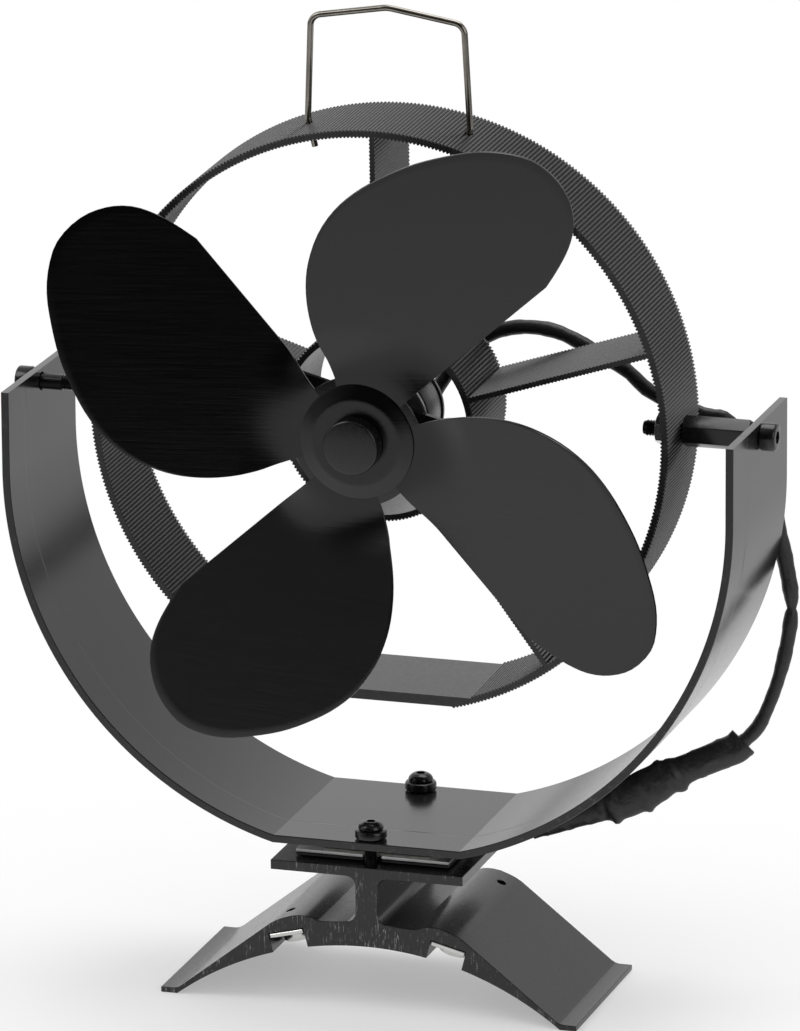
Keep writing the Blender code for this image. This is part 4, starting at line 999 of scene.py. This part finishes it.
def make_motor():
    r = CAN_RADIUS
    top = CAN_FRONT
    low = top - CAN_LENGTH
    profile = [(0, top - 0.0074), (CAN_BORE, top - 0.0074), (CAN_BORE, top + 0.001), (0.0029, top + 0.001),
               (0.0031, top + 0.0008), (0.0031, top), (r - 0.0011, top), (r - 0.0005, top - 0.00015),
               (r - 0.0001, top - 0.0006), (r, top - 0.0011), (r, low + 0.0015), (r + 0.0004, low + 0.0012),
               (r + 0.0005, low + 0.0007), (r + 0.0004, low + 0.0002), (r, low), (BACK_RADIUS, low), (0, low)]
    can = lathe("motor_body", profile, PIVOT, FORWARD, [MOTOR_STEEL], 96)
    cutters = []
    for angle in (0.6, 0.6 + math.pi):
        x, z = polar(0.0076, angle)
        cutters.append(drill(0.0009, 0.0016, PIVOT + Vector((x, -top, z)), FORWARD, 24))
    cut(can, cutters)
    dress(can, "motor_can", "head")
    face = low - GAP
    rim = face - BACK_RIM
    r = BACK_RADIUS
    profile = [(0, face), (r, face), (r, rim + 0.0004), (r - 0.0003, rim), (0.0034, rim),
               (0.0031, rim + 0.0004), (0, rim + 0.0004)]
    dress(lathe("motor_back", profile, PIVOT, FORWARD, [PLASTIC], 64), "motor_end_cap", "head")
    root = GAP - rim
    half = TAB_HALF
    outline = [(-half, root), (half, root), (half, root + 0.0022), (half - 0.0004, root + 0.0032),
               (-half + 0.0004, root + 0.0032), (-half, root + 0.0022)]
    for side, side_name in SIDES:
        at = PIVOT + Vector((side * TAB_X, 0, 0))
        tab = prism("solder_tab_" + side_name, outline, -0.00022, 0.00022, at, UPWARD, [BRASS])
        cut(tab, [drill(0.0004, 0.002, at + Vector((0, root + 0.0019, 0)), UPWARD, 16)])
        dress(tab, "motor_terminal_" + side_name, "head")
    reach = HUB_BORE - GAP
    half_turn = math.asin(STRAP_HALF / reach)
    outline = []
    holes = [circle(STRAP_BORE)]
    for middle in (STRAP_TURN, STRAP_TURN + math.pi):
        outline += arc((0, 0), reach, middle - half_turn, middle + half_turn, 10)
        seat_x, seat_z = polar(STRAP_HOLE_AT, middle)
        holes.append([(seat_x + x, seat_z + z) for x, z in circle(0.001, 32)])
    bracket = flat_with_holes("motor_strap", [outline] + holes, STRAP_THICK, [OXIDE, OXIDE])
    bracket.data.transform(Matrix.Translation((0, STRAP_Y, 0)))
    bevel(bracket, 0.00015, 1, 50)
    dress(bracket, "motor_bracket", "head")


# Pieces of the rotor

def outline_radius(degrees):
    """Outer radius of a blade, smooth between the outline's points."""
    points = BLADE_OUTLINE
    index = next(i for i in range(len(points) - 1) if degrees <= points[i + 1][0])
    (a0, r0), (a1, r1) = points[index:index + 2]
    run = a1 - a0
    before = points[index - 1] if index else (a0 - run, 2 * r0 - r1)
    after = points[index + 2] if index + 2 < len(points) else (a1 + run, 2 * r1 - r0)
    m0 = (r1 - before[1]) / (a1 - before[0]) * run
    m1 = (after[1] - r0) / (after[0] - a0) * run
    t = (degrees - a0) / run
    value = ((2 * t ** 3 - 3 * t ** 2 + 1) * r0 + (t ** 3 - 2 * t ** 2 + t) * m0
             + (-2 * t ** 3 + 3 * t ** 2) * r1 + (t ** 3 - t ** 2) * m1)
    return min(1.0, value) * BLADE_TIP


def blade_offset(radius, past_edge):
    """How far the sheet leans back here, eased from the flat disc into the blade's pitch."""
    share = min(1.0, max(0.0, (radius - DISC_RADIUS) / (TWIST_END - DISC_RADIUS)))
    ease = share * share * (3 - 2 * share)
    return ease * (BLADE_SETBACK - math.tan(BLADE_PITCH) * radius * math.sin(past_edge))


def make_blades():
    bm = bmesh.new()
    centre = PIVOT + Vector((0, BLADE_Y, 0))
    rows = 26

    def point(radius, past_edge, turn):
        x, z = polar(radius, BLADE_START + turn + past_edge)
        return bm.verts.new(centre + Vector((x, blade_offset(radius, past_edge), z)))

    # Columns of a blade by degrees past its edge, closer at both ends, and those of the gap after it
    angles = [0, 0.35, 0.75, 1.1, 1.5, 2, 2.5, 3, 3.6, 4.2, 5, 6, 7, 8, 9.3, 10.6, 12, 13.6, 15.3, 17]
    angles += [17 + 1.6 * step for step in range(1, 27)]
    angles += [59.8, 60.8, 61.8, 62.8, 63.8, 64.6, 65.3, 66, 66.5, 67, 67.4, 67.7, 68]
    gaps = [70, 72.5, 75, 77.5, 80, 82.5, 85, 87.5, 89]
    rim = []
    bore = []
    for blade in range(4):
        turn = TAU * blade / 4
        previous = None
        for degrees in angles:
            outer = outline_radius(degrees)
            past = math.radians(degrees)
            column = [point(DISC_RADIUS + (outer - DISC_RADIUS) * (r / rows), past, turn)
                      for r in range(rows + 1)]
            if previous:
                for r in range(rows):
                    bm.faces.new((previous[r], column[r], column[r + 1], previous[r + 1]))
            previous = column
            rim.append(column[0])
            bore.append(point(HUB_HOLE, past, turn))
        for degrees in gaps:
            past = math.radians(degrees)
            rim.append(point(DISC_RADIUS, past, turn))
            bore.append(point(HUB_HOLE, past, turn))
    wall(bm, bore, rim)
    blades = add("propeller_sheet", bm, [BLADE], 60)
    solid = blades.modifiers.new("sheet", "SOLIDIFY")
    solid.thickness = BLADE_THICK
    solid.offset = 0.0
    bevel(blades, 0.00018, 2, 60, 50)
    dress(blades, "fan_blade", "rotor")


def make_hub():
    at = PIVOT + Vector((0, BLADE_Y, 0))
    seat = BLADE_THICK / 2 + GAP
    stud = SLEEVE_TOP
    top = DISH_TOP
    bore = SHAFT_RADIUS + GAP
    profile = [(0, stud), (0.0028, stud), (0.003, stud - 0.0002), (0.003, top), (0.004, top),
               (0.004, -seat), (0.0064, -seat), (0.0065, -seat - 0.0002), (0.0065, -seat - 0.0014),
               (0.0063, -seat - 0.0016), (bore, -seat - 0.0016), (bore, stud - 0.001), (0, stud - 0.001)]
    dress(lathe("hub_sleeve", profile, at, FORWARD, [OXIDE], 64), "hub_collar", "rotor")
    profile = [(HUB_HOLE, top), (0.0104, top), (0.011, top - 0.00003), (0.0114, top - 0.00012),
               (0.0118, top - 0.00026), (0.0138, seat + 0.00032), (0.0142, seat + 0.0002),
               (DISH_RADIUS, seat + 0.00008), (DISH_RADIUS, seat), (HUB_HOLE, seat)]
    dress(lathe("hub_cone", profile, at, FORWARD, [BLADE], 96, 50, True), "hub_dish", "rotor")
    base = top + GAP
    roof = stud + GAP
    profile = knob(CAP_RADIUS, CAP_TOP, base) + [(0.0033, base), (0.0033, roof), (0, roof)]
    dress(lathe("hub_cap", profile, at, FORWARD, [PLASTIC], 96), "hub_nut", "rotor")
    rear = CAN_FRONT - CAN_LENGTH * 0.6 + GAP + BLADE_Y
    tip = stud - 0.001 - GAP
    r = SHAFT_RADIUS
    profile = [(0, tip), (r - 0.0002, tip), (r, tip - 0.0002), (r, rear), (0, rear)]
    dress(lathe("motor_axle", profile, at, FORWARD, [BRIGHT], 32), "motor_shaft", "rotor")


# Lead

def make_sleeve():
    """The splice: a shrunk sleeve with the joined wires' bumps, small lumps and creases."""
    route = smooth_route(SPLICE_POINTS, 0.0007)
    total = len(route) - 1
    radii = [by_table(SPLICE_RADII, index / total) / 1000 for index in range(total + 1)]
    squeeze = [0.62 + 0.3 * max(0.0, (index / total - 0.65) / 0.35) for index in range(total + 1)]
    flatten = (Vector((0, 1, 0)), squeeze)
    splice = tube("splice_sleeve", route, radii, [SLEEVE], SPLICE_SIDES, flatten, 30.0)
    normals = [vert.normal.copy() for vert in splice.data.vertices]
    for index, (vert, normal) in enumerate(zip(splice.data.vertices, normals)):
        share = index // SPLICE_SIDES / total
        degrees = 360.0 * (index % SPLICE_SIDES) / SPLICE_SIDES
        rise = noise.noise(vert.co * 230.0) * 0.00014
        rise += (1.0 - min(1.0, abs(noise.noise(vert.co * 170.0)) * 2.4)) ** 4 * 0.00022
        for place, turn, bump, spread in SPLICE_BUMPS:
            away = (degrees - turn + 180.0) % 360.0 - 180.0
            rise += bump / 1000 * math.exp(-((share - place) / spread) ** 2 - (away / BUMP_TURN) ** 2)
        vert.co += normal * rise
    dress(splice, "lead_splice", "stand")
    return splice


def make_lead():
    route = smooth_route(LEAD_POINTS, 0.0013)
    radii = []
    for index, point in enumerate(route):
        wave = 1.0 + 0.035 * math.sin(index * 0.9) + 0.025 * math.sin(index * 2.3)
        # The sleeve is drawn tight where it passes behind the standoff
        tight = 0.22 * math.exp(-((point.x - 0.073) / 0.009) ** 2) if point.z > 0.14 else 0.0
        radii.append(by_table(LEAD_RADII, point.z * 1000) / 1000 * wave * (1.0 - tight))
    radii[0] = radii[-1] = LEAD_RADIUS
    lead = tube("lead_cable", route, radii, [SLEEVE], 24)
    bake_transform(lead)
    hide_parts("lead_head", "lead_slack")
    splice = make_sleeve()
    tail = tube("module_wire", smooth_route(TAIL_POINTS, 0.0012), TAIL_RADIUS, [SLEEVE], 16)
    dress(tail, "lead_tail", "stand")


# Stage, lights and camera

def make_floor():
    """Pale floor that keeps the shadow near the foot and goes white further out."""
    bm = bmesh.new()
    bmesh.ops.create_grid(bm, x_segments=1, y_segments=1, size=FLOOR_HALF)
    nodes = Nodes("floor_pale", 0.92, 0.6, 0.0, 0.1)
    floor = add("floor", bm, [nodes.material], 0)
    glow = nodes.node("ShaderNodeEmission")
    path = nodes.node("ShaderNodeLightPath")
    seen = nodes.maths("MAXIMUM", path.outputs["Is Camera Ray"], path.outputs["Is Glossy Ray"])
    reach = nodes.compare("DISTANCE", nodes.place(), (0, SHIFT, 0))
    away = nodes.span(reach, 0.07, 0.2, 0.35, 1.0)
    # Reflections find the floor less bright than the camera does, and dim far away
    fade = nodes.maths("MULTIPLY", nodes.span(reach, 0.2, 0.36, 1.0, 0.72),
                       nodes.span(reach, 0.75, 1.7, 1.0, 0.2))
    nodes.fill(glow, Strength=nodes.maths("MAXIMUM", path.outputs["Is Camera Ray"], fade))
    mixer = nodes.node("ShaderNodeMixShader")
    nodes.feed(mixer.inputs, (nodes.maths("MULTIPLY", seen, away), nodes.shader.outputs[0], glow.outputs[0]))
    nodes.link(mixer.outputs[0], nodes.tree.nodes["Material Output"].inputs["Surface"])
    floor.location.z = -FLOOR_DROP


def make_world():
    world = bpy.data.worlds.new("studio")
    bpy.context.scene.world = world
    world.use_nodes = True
    nodes = Tree(world.node_tree)
    background = nodes.tree.nodes["Background"]
    path = nodes.node("ShaderNodeLightPath")
    seen = nodes.maths("MAXIMUM", path.outputs["Is Camera Ray"], path.outputs["Is Transmission Ray"])
    # Mirror-like rays find the room darker in front, overhead and to the right
    toward = nodes.place("Generated")
    front = nodes.span(nodes.compare("DOT_PRODUCT", toward, DARK_SIDE), 0.86, 0.0, 0.0, 1.0)
    above = nodes.span(nodes.split(toward)["Z"], 0.3, 0.95, 1.0, 0.6)
    right = nodes.span(nodes.split(toward)["X"], -0.1, 0.35, 1.0, 0.62)
    room = nodes.maths("MULTIPLY", nodes.maths("MULTIPLY", front, above), right)
    lit = nodes.between(path.outputs["Is Glossy Ray"], ROOM_LIGHT, room)
    nodes.fill(background, Color=(1, 1, 1, 1), Strength=nodes.between(seen, lit, 1.0))


def area_light(name, location, side, energy):
    """Square soft light that faces the fan."""
    data = bpy.data.lights.new(name, "AREA")
    data.shape = "RECTANGLE"
    data.size = data.size_y = side
    data.energy = energy
    light = new_object(name, data)
    light.location = location
    light.rotation_euler = (Vector(LIT_POINT) - Vector(location)).to_track_quat("-Z", "Y").to_euler()


def make_lights():
    area_light("key", (-0.9, -0.5, 1.1), 0.7, 5.0)
    area_light("fill", (1.1, -0.6, 0.6), 0.8, 3.0)
    area_light("top", (0.1, 0.3, 1.2), 0.8, 6.0)


def make_camera():
    """Camera as solved from the photograph."""
    data = bpy.data.cameras.new("camera")
    camera = new_object("camera", data)
    right = Vector(CAMERA_RIGHT)
    back = right.cross(Vector(CAMERA_UP)).normalized()
    up = back.cross(right).normalized()
    matrix = Matrix((right, up, back)).transposed().to_4x4()
    matrix.translation = row(*CAMERA_AT)
    camera.matrix_world = matrix
    data.sensor_fit = "HORIZONTAL"
    data.sensor_width = SENSOR
    data.lens = FOCAL_PIXELS * SENSOR / PHOTO_WIDTH
    data.shift_x = (PHOTO_WIDTH / 2 - OPTICAL_CENTRE[0]) / PHOTO_WIDTH
    data.shift_y = (OPTICAL_CENTRE[1] - PHOTO_HEIGHT / 2) / PHOTO_WIDTH
    data.clip_end = 50.0
    bpy.context.scene.camera = camera


make_foot()
make_magnets()
make_stack()
make_yoke()
make_clamps()
make_ring()
make_handle()
make_pivots()
make_motor()
make_blades()
make_hub()
make_lead()
make_floor()
make_world()
make_lights()
make_camera()
bpy.context.scene.view_settings.view_transform = "Standard"
